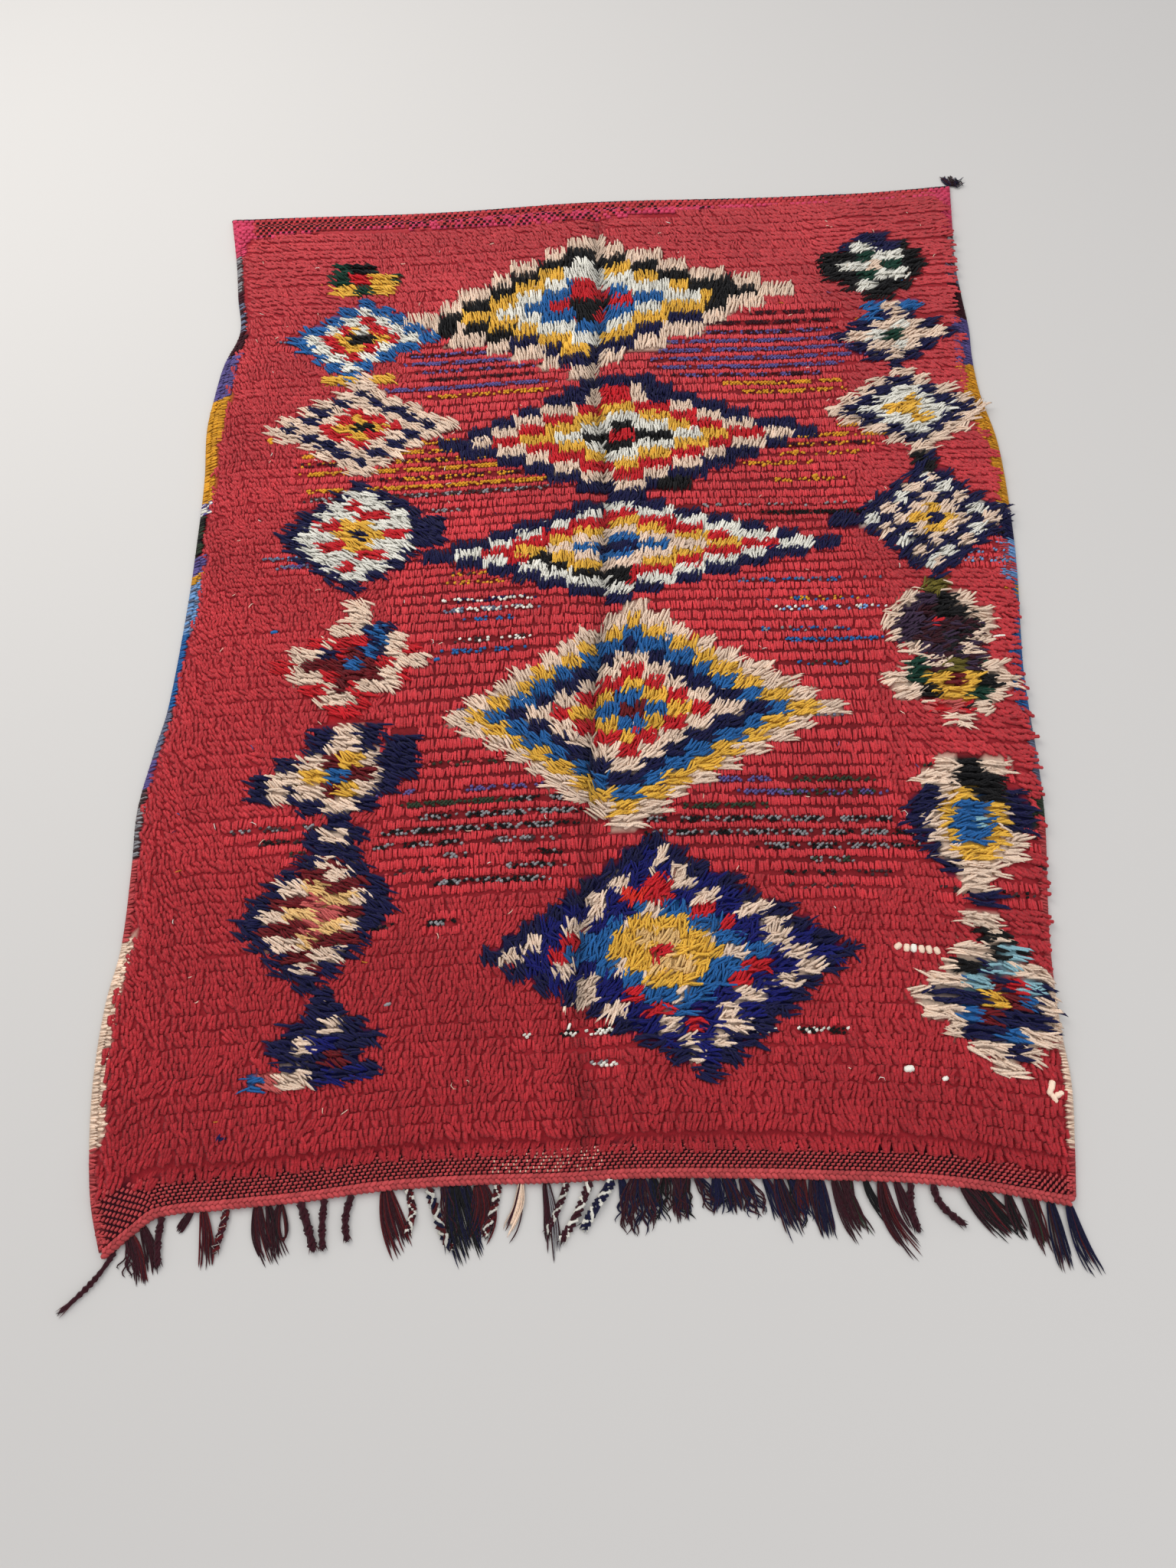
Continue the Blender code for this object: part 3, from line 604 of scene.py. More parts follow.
# coloured wefts that show where the pile is thin: part of the length, from and to across, yarns, share shown
bareWefts = [
    (0.802, 0.7, 0.83, "wine", 0.8), (0.79, 0.62, 0.82, "wine", 0.9), (0.778, 0.6, 0.82, "wine/lilac", 0.9),
    (0.787, 0.29, 0.44, "wine", 0.8), (0.776, 0.25, 0.45, "lilac/wine", 0.8), (0.764, 0.24, 0.46, "lilac", 0.95),
    (0.752, 0.26, 0.44, "lilac/wine", 0.7), (0.735, 0.28, 0.42, "wine", 0.6), (0.722, 0.21, 0.45, "lilac", 1.0),
    (0.712, 0.28, 0.45, "gold", 0.7), (0.8, 0.06, 0.17, "slate/wine", 0.6), (0.73, 0.16, 0.2, "lilac", 0.7),
    (0.768, 0.58, 0.87, "lilac", 1.0), (0.756, 0.58, 0.88, "lilac", 1.0), (0.744, 0.57, 0.87, "lilac", 0.95),
    (0.732, 0.57, 0.84, "lilac", 0.9), (0.72, 0.6, 0.8, "lilac/wine", 0.8), (0.712, 0.66, 0.83, "gold", 0.95),
    (0.7, 0.68, 0.83, "gold", 0.9), (0.788, 0.84, 0.92, "lilac", 0.6), (0.667, 0.2, 0.3, "gold", 0.5),
    (0.655, 0.2, 0.42, "gold", 0.9), (0.643, 0.12, 0.41, "gold", 0.9), (0.631, 0.11, 0.44, "gold/wine", 0.9),
    (0.62, 0.11, 0.45, "gold", 1.0), (0.608, 0.22, 0.45, "gold/wine", 0.8), (0.597, 0.13, 0.44, "gold", 0.9),
    (0.585, 0.12, 0.43, "grey/brown", 0.9), (0.573, 0.27, 0.33, "grey", 0.5), (0.655, 0.8, 0.9, "gold", 0.9),
    (0.643, 0.74, 0.87, "gold", 0.9), (0.631, 0.7, 0.84, "gold/wine", 0.8), (0.619, 0.71, 0.82, "gold", 0.5),
    (0.606, 0.66, 0.76, "gold", 0.7), (0.594, 0.7, 0.8, "gold", 0.4), (0.549, 0.69, 0.84, "black", 1.0),
    (0.56, 0.6, 0.9, "grey/rose", 0.35), (0.523, 0.08, 0.2, "sky/slate", 0.6),
    (0.512, 0.1, 0.25, "slate/lilac", 0.8), (0.512, 0.27, 0.42, "slate/grey", 0.6),
    (0.499, 0.3, 0.45, "brown/gold", 0.4), (0.484, 0.31, 0.42, "gold/rose", 0.7),
    (0.47, 0.3, 0.42, "white/navy", 0.7), (0.457, 0.31, 0.43, "white/slate", 0.8), (0.444, 0.33, 0.4, "blue", 0.5),
    (0.43, 0.32, 0.42, "white/brown", 0.7), (0.419, 0.31, 0.42, "blue", 0.6),
    (0.472, 0.66, 0.84, "slate/blue", 0.5), (0.458, 0.72, 0.82, "gold/blue", 0.5),
    (0.446, 0.7, 0.86, "white/sky", 0.5), (0.43, 0.68, 0.8, "blue/grey", 0.3), (0.416, 0.72, 0.84, "blue", 0.6),
    (0.392, 0.72, 0.8, "blue/moss", 0.5), (0.35, 0.34, 0.39, "slate", 0.9), (0.343, 0.72, 0.79, "slate", 0.8),
    (0.338, 0.33, 0.4, "grey/rose", 0.6), (0.305, 0.3, 0.4, "moss/rose", 0.4), (0.287, 0.26, 0.31, "lilac", 0.4),
    (0.287, 0.36, 0.475, "lilac", 0.75), (0.273, 0.29, 0.42, "moss", 0.95), (0.273, 0.41, 0.49, "grey/black", 0.95),
    (0.261, 0.31, 0.49, "black/grey", 0.95), (0.248, 0.27, 0.49, "black/grey", 0.95),
    (0.236, 0.26, 0.36, "black/grey", 0.7), (0.236, 0.39, 0.47, "grey/brown", 0.8),
    (0.225, 0.34, 0.37, "black/grey", 0.7), (0.225, 0.43, 0.47, "grey/black", 0.6),
    (0.213, 0.27, 0.34, "brown/rose", 0.5), (0.213, 0.41, 0.48, "grey/black", 0.9),
    (0.202, 0.33, 0.46, "black/grey", 0.9), (0.168, 0.27, 0.3, "black/brown", 0.8),
    (0.168, 0.33, 0.37, "black/grey", 0.9), (0.25, 0.12, 0.22, "black/brown", 0.6),
    (0.237, 0.16, 0.24, "brown/moss", 0.6), (0.262, 0.1, 0.2, "grey/brown", 0.5), (0.284, 0.64, 0.7, "lilac", 0.8),
    (0.284, 0.72, 0.82, "moss", 0.6), (0.272, 0.66, 0.73, "lilac", 0.8), (0.272, 0.7, 0.83, "moss/lilac", 0.9),
    (0.26, 0.6, 0.7, "moss", 0.9), (0.248, 0.56, 0.84, "black/grey", 0.9), (0.236, 0.56, 0.88, "grey/black", 0.95),
    (0.225, 0.68, 0.88, "grey/black", 0.95), (0.213, 0.74, 0.81, "grey/moss", 0.5),
    (0.202, 0.7, 0.84, "black/brown", 0.5), (0.19, 0.72, 0.82, "brown/rose", 0.4),
    (0.524, 0.9, 0.99, "navy/black", 0.9), (0.508, 0.87, 0.99, "sky/rose", 0.9),
    (0.494, 0.9, 0.99, "sky/coral", 0.8), (0.236, 0.9, 0.99, "grey/wine", 0.7),
    (0.19, 0.88, 0.99, "black/brown", 0.5), (0.3, 0.86, 0.97, "moss/black", 0.4),
    (0.082, 0.478, 0.555, "white/black", 1.0), (0.082, 0.68, 0.705, "white", 1.0),
    (0.082, 0.722, 0.778, "white/black", 1.0), (0.068, 0.5, 0.54, "white/grey", 0.9),
    (0.086, 0.44, 0.45, "white", 1.0),
]


def knotsOfField():
    # every knot of the red field: place, row spacing and knot spacing
    us, vs, steps, widths, rows = [], [], [], [], []
    for row, (v, step) in enumerate(zip(rowPlaces, rowSteps)):
        pitch = pitchAt(field["knotPitch"], v)
        width = float(widthAt(v))
        count = int(width / pitch)
        u = (np.arange(count) + 0.5 + (row % 2) * 0.25 + chance.uniform(-0.16, 0.16, count)) / count
        wander = 0.0016 * np.sin(u * 9 + row * 1.3) + chance.uniform(-0.0012, 0.0012, count)
        us.append(u)
        vs.append(v + wander / weave["length"])
        steps.append(np.full(count, step))
        widths.append(np.full(count, pitch))
        rows.append(np.full(count, row))
    return (np.concatenate(a) for a in (us, vs, steps, widths, rows))


def openGaps(u, row):
    # how far the gap above each knot's row is open, 0 to 1, because of a bare weft there
    gap = np.zeros(len(u))
    for place, start, stop, _, share in bareWefts:
        here = (row == np.argmin(np.abs(rowPlaces - place))) & (u > start) & (u < stop)
        gap = np.where(here, np.maximum(gap, share), gap)
    return gap


def makeField():
    u, v, step, pitch, row = knotsOfField()
    keep = (motifYarn(u, v) < 0) & (v * weave["length"] > lowBandDepth(u) - 0.004)
    for side, away in (("left", u), ("right", 1 - u)):  # the bare selvedges, with a ragged inner edge
        _, wide = selvedgeAt(selvedges[side], v, np.ones(len(v), bool))
        keep &= away * widthAt(v) > wide * (0.95 + 0.25 * np.sin(v * 260)) + 0.004
    keep &= (1 - v) * weave["length"] > highBandDepth(u)
    u, v, step, pitch, row = u[keep], v[keep], step[keep], pitch[keep], row[keep]
    x, y = onRug(u, v)
    worn, above, below = wornShare(x, y), openGaps(u, row), openGaps(u, row - 1)
    worn = np.where(np.maximum(above, below) > 0.3, np.maximum(worn, 0.6), worn)
    knots = len(u)
    each = np.where(worn > field["wornFrom"], field["wornStrands"], len(field["strands"]))
    first = np.repeat(np.cumsum(each) - each, each)
    knotShade, knotTurn = 1 + 0.05 * chance.standard_normal(knots), chance.normal(0, 1, knots)
    x, y, u, v, step, pitch, worn, above, below, knotShade, knotTurn, many = (
        np.repeat(a, each) for a in (x, y, u, v, step, pitch, worn, above, below, knotShade, knotTurn, each))
    slot = np.arange(len(x)) - first
    count = len(x)
    bead = worn > field["wornFrom"]
    low, high = smoothStep((-0.62 - y) / 0.25), smoothStep((y - 0.66) / 0.14)
    left, right = smoothStep((-0.48 - x) / 0.12), smoothStep((x - 0.42) / 0.12)
    lay = -90 + 30 * left * (1 - low) + 58 * right * (1 - low) + 30 * high
    lay = lay + 24 * drift(x, y, 0.15, 1.1) + 8 * knotTurn + chance.normal(0, 9, count)
    standing = np.where(chance.random(count) < 0.5, 90, -90) + chance.normal(0, 7, count)
    angle = np.radians(np.where(bead, standing, lay))
    beside = np.where(bead, (slot + 0.5) / many - 0.5, np.array(field["strands"])[slot] - 0.5) * pitch * 1.05
    beside = beside + chance.normal(0, 0.0006, count)
    back = np.where(bead, 0.0, np.where(slot < 2, 0.42, 0.0)) * step  # half the ends start half a row lower
    length = np.where(bead, field["wornLength"] - 0.12 * worn, field["length"])
    length = step * length * chance.uniform(0.88, 1.14, count) - bead * field["weftRoom"] * (above + below)
    tall = np.where(bead, field["wornTall"], field["tall"] + 0.0006 * low) * chance.uniform(0.82, 1.18, count)
    half = pitch * np.where(bead, field["wornHalf"], field["half"]) * chance.uniform(0.85, 1.2, count)
    z = footTop(u, v)
    dx, dy = np.cos(angle), np.sin(angle)
    curl = chance.normal(0, 0.18, count) * length * (1 - 0.8 * worn)
    sx = x + beside
    sy = y + back + chance.normal(0, 0.0014, count)
    sy = sy - np.where(bead, dy * length * 0.5 + 0.002 * (above - below), 0)
    start = xyz(sx, sy, z - 0.0004)
    bend = xyz(sx + dx * length * 0.5 - dy * curl, sy + dy * length * 0.5 + dx * curl, z + tall * 1.75)
    end = xyz(sx + dx * length, sy + dy * length, z + tall * np.where(bead, 0.02, 0.15))
    paths = curved(start, bend, end, (0.0, 0.14, 0.86, 1.0))
    grade = np.clip((y + 1.0) / 2.0, 0, 1)
    colour = np.stack([np.interp(grade, [0, 0.45, 1], [yarns[n][c] for n in ("ruby", "cherry", "rose")])
                       for c in range(3)], axis=-1)
    shade = knotShade * (1 + 0.06 * chance.standard_normal(count)) * (1 + 0.10 * drift(x, y, 0.7, 0.4))
    # painted shade: the pile's colour is darkened along the fold
    shade *= (1 - field["crease"] * creaseShare(u, v, 0.7)) * np.where(bead, 1.24, 1.0)
    return yarnPieces("fieldPile", tuftEnd, paths, half[:, None] * np.ones((1, 4)), field["flat"],
                      colour * np.clip(shade, 0.45, 1.6)[:, None], pileWool, rootPaintedShade=0.9)


fieldPieces = makeField()
print("field pile:", len(fieldPieces), "pieces")

shag = {
    "apart": 0.0036, "strands": 3, "tall": 0.0066, "half": 0.0023, "flat": 0.60,  # three strands make one lock
    "form": np.array([[1.0, 1.1, 0.85, 1.0]]), "margin": 0.08, "creaseTurn": 26, "creaseReach": 0.035,
}
families = {
    "shagLight": ["cream", "white", "aqua", "paleYellow"], "shagYellow": ["mustard", "gold", "olive"],
    "shagDark": ["navy", "black", "royal", "plum", "wine", "green"], "shagBlue": ["blue", "sky"],
    "shagRed": ["red", "orangeRed", "maroon", "coral"],
}


def makeShag():
    # long yarn ends of the lozenges, rooted row by row and combed the way each lozenge lies
    found = []
    for motif in motifs:
        wide = (motif["rows"] + 1) * max(motif["left"], motif["right"]) + shag["margin"]
        tall = (motif["rows"] + 2.6) * motif["row"]
        columns = int(2 * wide / shag["apart"])
        rows = int(2 * tall / (motif["row"] / 2))
        dx, dy = np.meshgrid((np.arange(columns) + 0.5) / columns * 2 * wide - wide,
                             (np.arange(rows) + 0.5) * motif["row"] / 2 - tall)
        dx, dy = dx.ravel(), dy.ravel()
        perRow = columns // shag["strands"] + 1
        lock = (np.arange(rows)[:, None] * perRow + np.arange(columns)[None] // shag["strands"]).ravel()
        lockTurn, lockBow = chance.standard_normal(rows * perRow)[lock], chance.standard_normal(rows * perRow)[lock]
        lockSize = chance.uniform(0.80, 1.14, rows * perRow)[lock]
        dx = dx + chance.uniform(-0.002, 0.002, len(dx))
        dy = dy + chance.uniform(-0.25, 0.25, len(dy)) * motif["row"] * 0.5
        u, v = motif["u"] + dx / motif["width"], motif["v"] + dy / motif["length"]
        yarn = np.where((u > 0.004) & (u < 0.996), yarnAt(motif, np.clip(u, 0, 1), np.clip(v, 0, 1)), -1)
        keep = yarn >= 0
        dx, dy, u, v, yarn, lockTurn, lockBow, lockSize = (
            a[keep] for a in (dx, dy, u, v, yarn, lockTurn, lockBow, lockSize))
        x, y = onRug(u, v)
        count = len(x)
        beside = (u - weave["creaseAt"]) * widthAt(v)
        fan = motif.get("fan", 0) * np.clip(dx / (wide - shag["margin"]), -1, 1)
        low = np.clip(-dy / (motif["rows"] * motif["row"]), 0, 1) * motif.get("down", 0.0)
        lay = motif["lay"] + fan - low * (90 * np.sign(np.cos(np.radians(motif["lay"] + fan))) * 0.9)
        if motif["name"].startswith("centre"):  # combed into the fold on both sides
            lay = lay - shag["creaseTurn"] * np.sign(beside) * np.exp(-(beside / shag["creaseReach"]) ** 2)
        lay = lay + motif["spread"] * (0.9 * drift(x, y, 0.060, 0.6) + 0.38 * lockTurn
                                       + 0.14 * chance.standard_normal(count))
        lay = lay + 180 * ((lockBow * 7.3) % 1 < motif.get("both", 0.5))
        angle = np.radians(lay)
        outer = motifYarn(u + 0.018 * np.cos(angle) / motif["width"],
                          v + 0.018 * np.sin(angle) / motif["length"]) < 0
        length = motif["end"] * np.where(outer, 0.92, 0.74) * lockSize * chance.uniform(0.92, 1.08, count)
        found.append((x, y, u, v, angle, length, yarn, np.full(count, motif["row"]), lockBow, lockSize))
    x, y, u, v, angle, length, yarn, row, lockBow, lockSize = (np.concatenate(a) for a in zip(*found))
    count = len(x)
    dx, dy = np.cos(angle), np.sin(angle)
    z = footTop(u, v)
    tall = shag["tall"] * lockSize * chance.uniform(0.85, 1.12, count)
    bow = (0.10 * lockBow + chance.normal(0, 0.04, count)) * length
    sx, sy = x - dx * length * 0.38, y - dy * length * 0.38 - np.maximum(dy, 0) * row * 0.12
    start = xyz(sx, sy, z - 0.0008)
    bend = xyz(sx + dx * length * 0.45 - dy * bow, sy + dy * length * 0.45 + dx * bow, z + 1.75 * tall)
    end = xyz(sx + dx * length, sy + dy * length, z + tall * chance.uniform(0.25, 0.9, count))
    paths = curved(start, bend, end, tuftSteps)
    half = (shag["half"] * chance.uniform(0.75, 1.3, count))[:, None] * shag["form"]
    shade = (1 + 0.05 * chance.standard_normal(count)) * (0.55 + 0.46 * lockSize)
    shade *= (1 + 0.08 * drift(x, y, 0.16, 1.9))
    # painted shade: the long pile's colour is darkened along the fold
    shade *= 1 - 0.45 * creaseShare(u, v, 0.6)
    colours = palette[yarn] * np.clip(shade, 0.4, 1.5)[:, None]
    made = []
    for name, members in families.items():
        mine = np.isin(yarn, [yarnNumber(m) for m in members])
        made += yarnPieces(name, tuftEnd, paths[mine], half[mine], shag["flat"], colours[mine], shagWool,
                           rootPaintedShade=0.84)
    return made


shagPieces = makeShag()
print("lozenges:", len(shagPieces), "pieces")


def makeWefts():
    look = {"pitch": 0.0066, "length": 0.0062, "half": 0.0024, "lift": 0.0022}
    parts = []
    for place, start, stop, name, share in bareWefts:
        gap = rowPlaces[np.argmin(np.abs(rowPlaces - place))]
        half = float(np.interp(gap, rowPlaces, rowSteps)) * 0.5 / weave["length"]
        wide = (stop - start) * float(widthAt(gap))
        count = max(int(wide / look["pitch"]), 2)
        for line in (-1, 0, 1):
            u = start + (stop - start) * (np.arange(count) + 0.5 + 0.5 * (line % 2)) / count
            ramp = smoothStep(np.minimum(u - start, stop - u) / (stop - start) * 5 + 0.35)
            keep = chance.random(count) < share * ramp * (0.72 + 0.3 * np.sin(u * 150 + place * 900))
            v = gap + half + (0.0030 * line + chance.normal(0, 0.0003, count)) / weave["length"]
            yarn = yarnPair(name, chance.random(count) < 0.5)
            parts.append((u[keep], v[keep], yarn[keep], np.full(int(keep.sum()), line)))
    u, v, yarn, line = (np.concatenate(a) for a in zip(*parts))
    bare = motifYarn(u, v) < 0
    u, v, yarn, line = u[bare], v[bare], yarn[bare], line[bare]
    x, y = onRug(u, v)
    count = len(x)
    z = footTop(u, v) + look["lift"] + 0.0012 * (1 - np.abs(line))
    angle = np.radians(chance.normal(24, 7, count))
    dx, dy = np.cos(angle) * look["length"] / 2, np.sin(angle) * look["length"] / 2
    paths = stitch(x, y, z, dx, dy, 0.0006, 0.0014, tuftSteps)
    half = look["half"] * chance.uniform(0.8, 1.25, (count, 1)) * np.ones((1, 4))
    colours = palette[yarn] * chance.uniform(0.75, 1.25, (count, 1))
    return yarnPiece("bareWefts", tuftEnd, paths, half, 1.0, colours, weftWool)


wefts = makeWefts()


def grainPiece(name, parts):
    # parts: u, v, lift over the foot, angle in degrees, length, half width, yarn number
    u, v, lift, angle, length, half, yarn = (np.concatenate([np.broadcast_to(p[i], np.shape(p[0])) for p in parts])
                                            for i in range(7))
    x, y = onRug(u, v)
    z = footTop(u, v) + lift
    count = len(x)
    turn = np.radians(angle + chance.normal(0, 5, count))
    dx, dy = np.cos(turn) * length / 2, np.sin(turn) * length / 2
    paths = stitch(x, y, z, dx, dy, 0.0005, 0.0012, tuftSteps)
    half = (half * chance.uniform(0.88, 1.12, count))[:, None] * np.ones((1, 4))
    colours = palette[yarn.astype(int)] * chance.uniform(0.85, 1.15, (count, 1))
    return yarnPiece(name, tuftEnd, paths, half, 1.0, colours, weftWool)


def makeLowBand():
    look = {"rows": 16, "width": 1.30, "across": 0.0074, "along": 0.0046, "half": 0.0022}
    parts = []
    for row in range(look["rows"]):
        count = int(look["width"] / look["across"])
        u = (np.arange(count) + 0.5 + 0.5 * (row % 2)) / count
        depth = (row + 0.7) * look["along"]
        v = np.full(count, depth / weave["length"])
        inside = (depth < lowBandDepth(u)) & (u > 0.002) & (u < 0.998)
        corner = (u < 0.05) | (u > 0.965)
        pale = (u > 0.395) & (u < 0.515) & (chance.random(count) < 0.6)
        parts.append((u[inside], v[inside], 0.0022, np.where(corner, 55, 14)[inside], 0.0070, look["half"],
                      float(yarnNumber("braidRed"))))
        dark = np.clip(np.minimum(u - 0.03, 0.955 - u) / 0.06, 0, 0.92)
        between = inside & ~corner & (chance.random(count) < dark)
        yarn = np.where(pale, yarnNumber("cream"), yarnNumber("black")).astype(float)
        parts.append((u[between] + 0.5 / count, v[between], 0.0027, np.where(pale, 80, 12)[between], 0.0036,
                      0.0012, yarn[between]))
    return grainPiece("lowEndBand", parts)


def makeHighBand():
    look = {"rows": 12, "width": 1.60, "across": 0.0125, "along": 0.0098, "half": 0.0044}
    parts = []
    for row in range(look["rows"]):
        count = int(look["width"] / look["across"])
        u = (np.arange(count) + 0.5 + 0.5 * (row % 2)) / count
        depth = (row + 0.6) * look["along"] + 0.0012 * np.sin(u * 40)
        v = 1 - depth / weave["length"]
        inside = (depth < highBandDepth(u) + 0.004 * chance.random(count)) & (u > 0.003) & (u < 0.997)
        rim = depth < 0.018 + 0.006 * np.sin(u * 17)
        dark = np.clip(1.25 - u * 1.6, 0.12, 1.0) * (u < 0.66)
        corner = (u < 0.028) | (u > 0.965)
        deep = (depth > 0.026) & (u > 0.22) | (depth > highBandDepth(u) - 0.012)
        hot = corner | (deep & (chance.random(count) < 0.7))
        yarn = np.where(hot & ~(rim & ~corner), yarnNumber("pink"), yarnNumber("rose")).astype(float)
        parts.append((u[inside], v[inside], 0.0020, 10.0, 0.0128, look["half"], yarn[inside]))
        dash = inside & ~corner & (chance.random(count) < dark * 0.95) & (row > 0)
        parts.append((u[dash] + 0.5 / count, v[dash], 0.0052, 14.0, 0.0082, 0.0019,
                      float(yarnNumber("black"))))
    return grainPiece("highEndBand", parts)


def makeSelvedge(side):
    look = {"lines": 4, "apart": 0.0115, "pitch": 0.0040, "length": 0.0150, "half": 0.0023}
    places = np.arange(0.002, 0.998, look["pitch"] / weave["length"])
    parts = []
    for deep in range(look["lines"]):
        v = places + chance.normal(0, 0.0004, len(places))
        yarn, wide = selvedgeAt(selvedges[side], v, chance.random(len(v)) < 0.5)
        inset = deep * look["apart"] - 0.0015
        keep = (wide - 0.003 > inset) & (v > 0) & (v < 1)
        away = (inset + chance.normal(0, 0.0012, len(v))) / widthAt(v)
        parts.append((v[keep], away[keep], yarn[keep], np.full(int(keep.sum()), deep)))
    v, away, yarn, deep = (np.concatenate(a) for a in zip(*parts))
    away = np.clip(away, 0.0003, 1)
    u, sign = (away, 1.0) if side == "left" else (1 - away, -1.0)
    x, y = onRug(u, v)
    count = len(x)
    length = look["length"] * chance.uniform(0.85, 1.2, count)
    inner = np.clip(u + sign * length / widthAt(v), 0, 1)
    z0, z1 = footTop(u, v), footTop(inner, v)
    outer = deep == 0
    tilt = chance.normal(0, 0.0016, count)
    start = xyz(x, y, np.where(outer, 0.0022, z0 + 0.0004))
    bend = xyz(x + sign * np.where(outer, 0.0005, length * 0.5), y + tilt, np.where(outer, 0.0105, z0 + 0.0045))
    end = xyz(x + sign * length, y + 1.5 * tilt, z1 + 0.0008)
    paths = curved(start, bend, end, tuftSteps)
    half = look["half"] * chance.uniform(0.8, 1.2, (count, 1)) * np.ones((1, 4))
    colours = palette[yarn] * chance.uniform(0.75, 1.2, (count, 1))
    return yarnPiece(side + "Selvedge", tuftEnd, paths, half, 0.7, colours, weftWool, rootPaintedShade=0.9)


def besideEnd(v, outward, count=400):
    # a line just outside one end, and its direction
    u = np.linspace(0, 1, count)
    x, y = onRug(u, np.full(count, v))
    dx, dy = np.gradient(x), np.gradient(y)
    far = np.hypot(dx, dy)
    return x - dy / far * outward, y + dx / far * outward


def alongLine(line, pitch):
    x, y = line
    far = np.concatenate([[0], np.hypot(np.diff(x), np.diff(y)).cumsum()])
    s = np.arange(pitch / 2, far[-1] - pitch / 2, pitch)
    px, py = np.interp(s, far, x), np.interp(s, far, y)
    tx, ty = np.gradient(px), np.gradient(py)
    size = np.hypot(tx, ty)
    return px, py, tx / size, ty / size


def makeBraid():
    look = {"offset": 0.0063, "pitch": 0.0078, "half": 0.0035, "side": 0.0056, "ahead": 0.0058}
    x, y, tx, ty = alongLine(besideEnd(0.0, -look["offset"]), look["pitch"])
    starts, bends, ends = [], [], []
    for sign in (1, -1):
        shift = 0.5 * look["pitch"] * (sign > 0)
        cx, cy = x + tx * shift, y + ty * shift
        back, out = look["ahead"] * 0.8, look["side"] * sign
        starts.append(xyz(cx - tx * back, cy - ty * back, 0.0062))
        bends.append(xyz(cx - ty * out * 0.6, cy + tx * out * 0.6, 0.0078))
        ends.append(xyz(cx + tx * look["ahead"] - ty * out, cy + ty * look["ahead"] + tx * out, 0.0028))
    paths = curved(*(np.concatenate(a) for a in (starts, bends, ends)), beadSteps)
    count = len(paths)
    half = look["half"] * chance.uniform(0.9, 1.1, (count, 1)) * beadForm
    colours = yarns["braidRed"] * chance.uniform(0.75, 1.15, (count, 1))
    return yarnPiece("endBraid", roundBead, paths, half, 0.9, colours, cordWool, ["end_braid"],
                     rootPaintedShade=0.85)


def makeTopCord():
    look = {"offset": 0.0033, "pitch": 0.0048, "half": 0.0021, "side": 0.0026, "ahead": 0.0045}
    x, y, tx, ty = alongLine(besideEnd(1.0, look["offset"]), look["pitch"])
    back, out = look["ahead"], look["side"]
    start = xyz(x - tx * back + ty * out, y - ty * back - tx * out, 0.0020)
    bend = xyz(x, y, 0.0062)
    end = xyz(x + tx * back - ty * out, y + ty * back + tx * out, 0.0020)
    paths = curved(start, bend, end, beadSteps)
    count = len(paths)
    half = look["half"] * chance.uniform(0.85, 1.15, (count, 1)) * beadForm
    yarn = chance.choice([yarnNumber(n) for n in ("black", "wine", "navy", "brown", "maroon")], count,
                         p=[0.34, 0.26, 0.20, 0.10, 0.10])
    colours = palette[yarn] * chance.uniform(0.7, 1.4, (count, 1))
    return yarnPiece("topCord", roundBead, paths, half, 1.0, colours, cordWool, ["top_cord"],
                     rootPaintedShade=0.9)


# small single marks: place, length, half width, angle, yarn
spots = [
    (0.838, 0.153, 0.014, 0.005, 40, "cream"), (0.847, 0.152, 0.014, 0.005, 75, "cream"),
    (0.8545, 0.152, 0.014, 0.005, 82, "white"), (0.8625, 0.1515, 0.014, 0.005, 90, "cream"),
    (0.8705, 0.1515, 0.014, 0.005, 95, "cream"), (0.8785, 0.151, 0.013, 0.005, 110, "cream"),
    (0.835, 0.066, 0.016, 0.0052, 10, "white"), (0.871, 0.061, 0.01, 0.0036, 30, "white"),
    (0.112, 0.451, 0.014, 0.0035, 10, "blue"), (0.31, 0.412, 0.012, 0.0035, 20, "blue"),
    (0.083, 0.671, 0.013, 0.005, 40, "gold"), (0.084, 0.668, 0.01, 0.004, 120, "gold"),
    (0.762, 0.598, 0.014, 0.0042, 30, "gold"), (0.742, 0.628, 0.012, 0.004, 10, "gold"),
    (0.7, 0.612, 0.01, 0.0034, 50, "gold"), (0.976, 0.064, 0.026, 0.005, 65, "cream"),
    (0.982, 0.06, 0.022, 0.0046, 20, "cream"), (0.978, 0.058, 0.018, 0.004, 110, "cream"),
    (0.972, 0.423, 0.026, 0.0022, 5, "white"), (0.986, 0.423, 0.024, 0.0022, -5, "white"),
    (0.127, 0.038, 0.014, 0.003, 70, "navy"), (0.131, 0.037, 0.01, 0.0026, 20, "navy"),
    (0.485, 0.108, 0.02, 0.0026, 84, "cream"), (0.489, 0.096, 0.014, 0.0022, 70, "white"),
    (0.3, 0.118, 0.012, 0.0028, 20, "grey"), (0.09, 0.995, 0.014, 0.0024, 20, "black"),
    (0.11, 0.994, 0.016, 0.0026, 10, "navy"), (0.34, 0.996, 0.014, 0.0024, 12, "black"),
]


def makeSpots():
    u, v, length, half, angle = (np.array([spot[i] for spot in spots], float) for i in range(5))
    yarn = np.array([yarnNumber(spot[5]) for spot in spots])
    x, y = onRug(u, v)
    z = pileTop(u, v)
    turn = np.radians(angle)
    dx, dy = np.cos(turn) * length / 2, np.sin(turn) * length / 2
    paths = stitch(x, y, z, dx, dy, 0.0026, 0.0012, beadSteps)
    half = half[:, None] * np.array([[1.0, 0.9, 1.0, 0.9, 1.0]])
    return yarnPiece("spots", roundBead, paths, half, 0.7, palette[yarn], weftWool, rootPaintedShade=0.95)


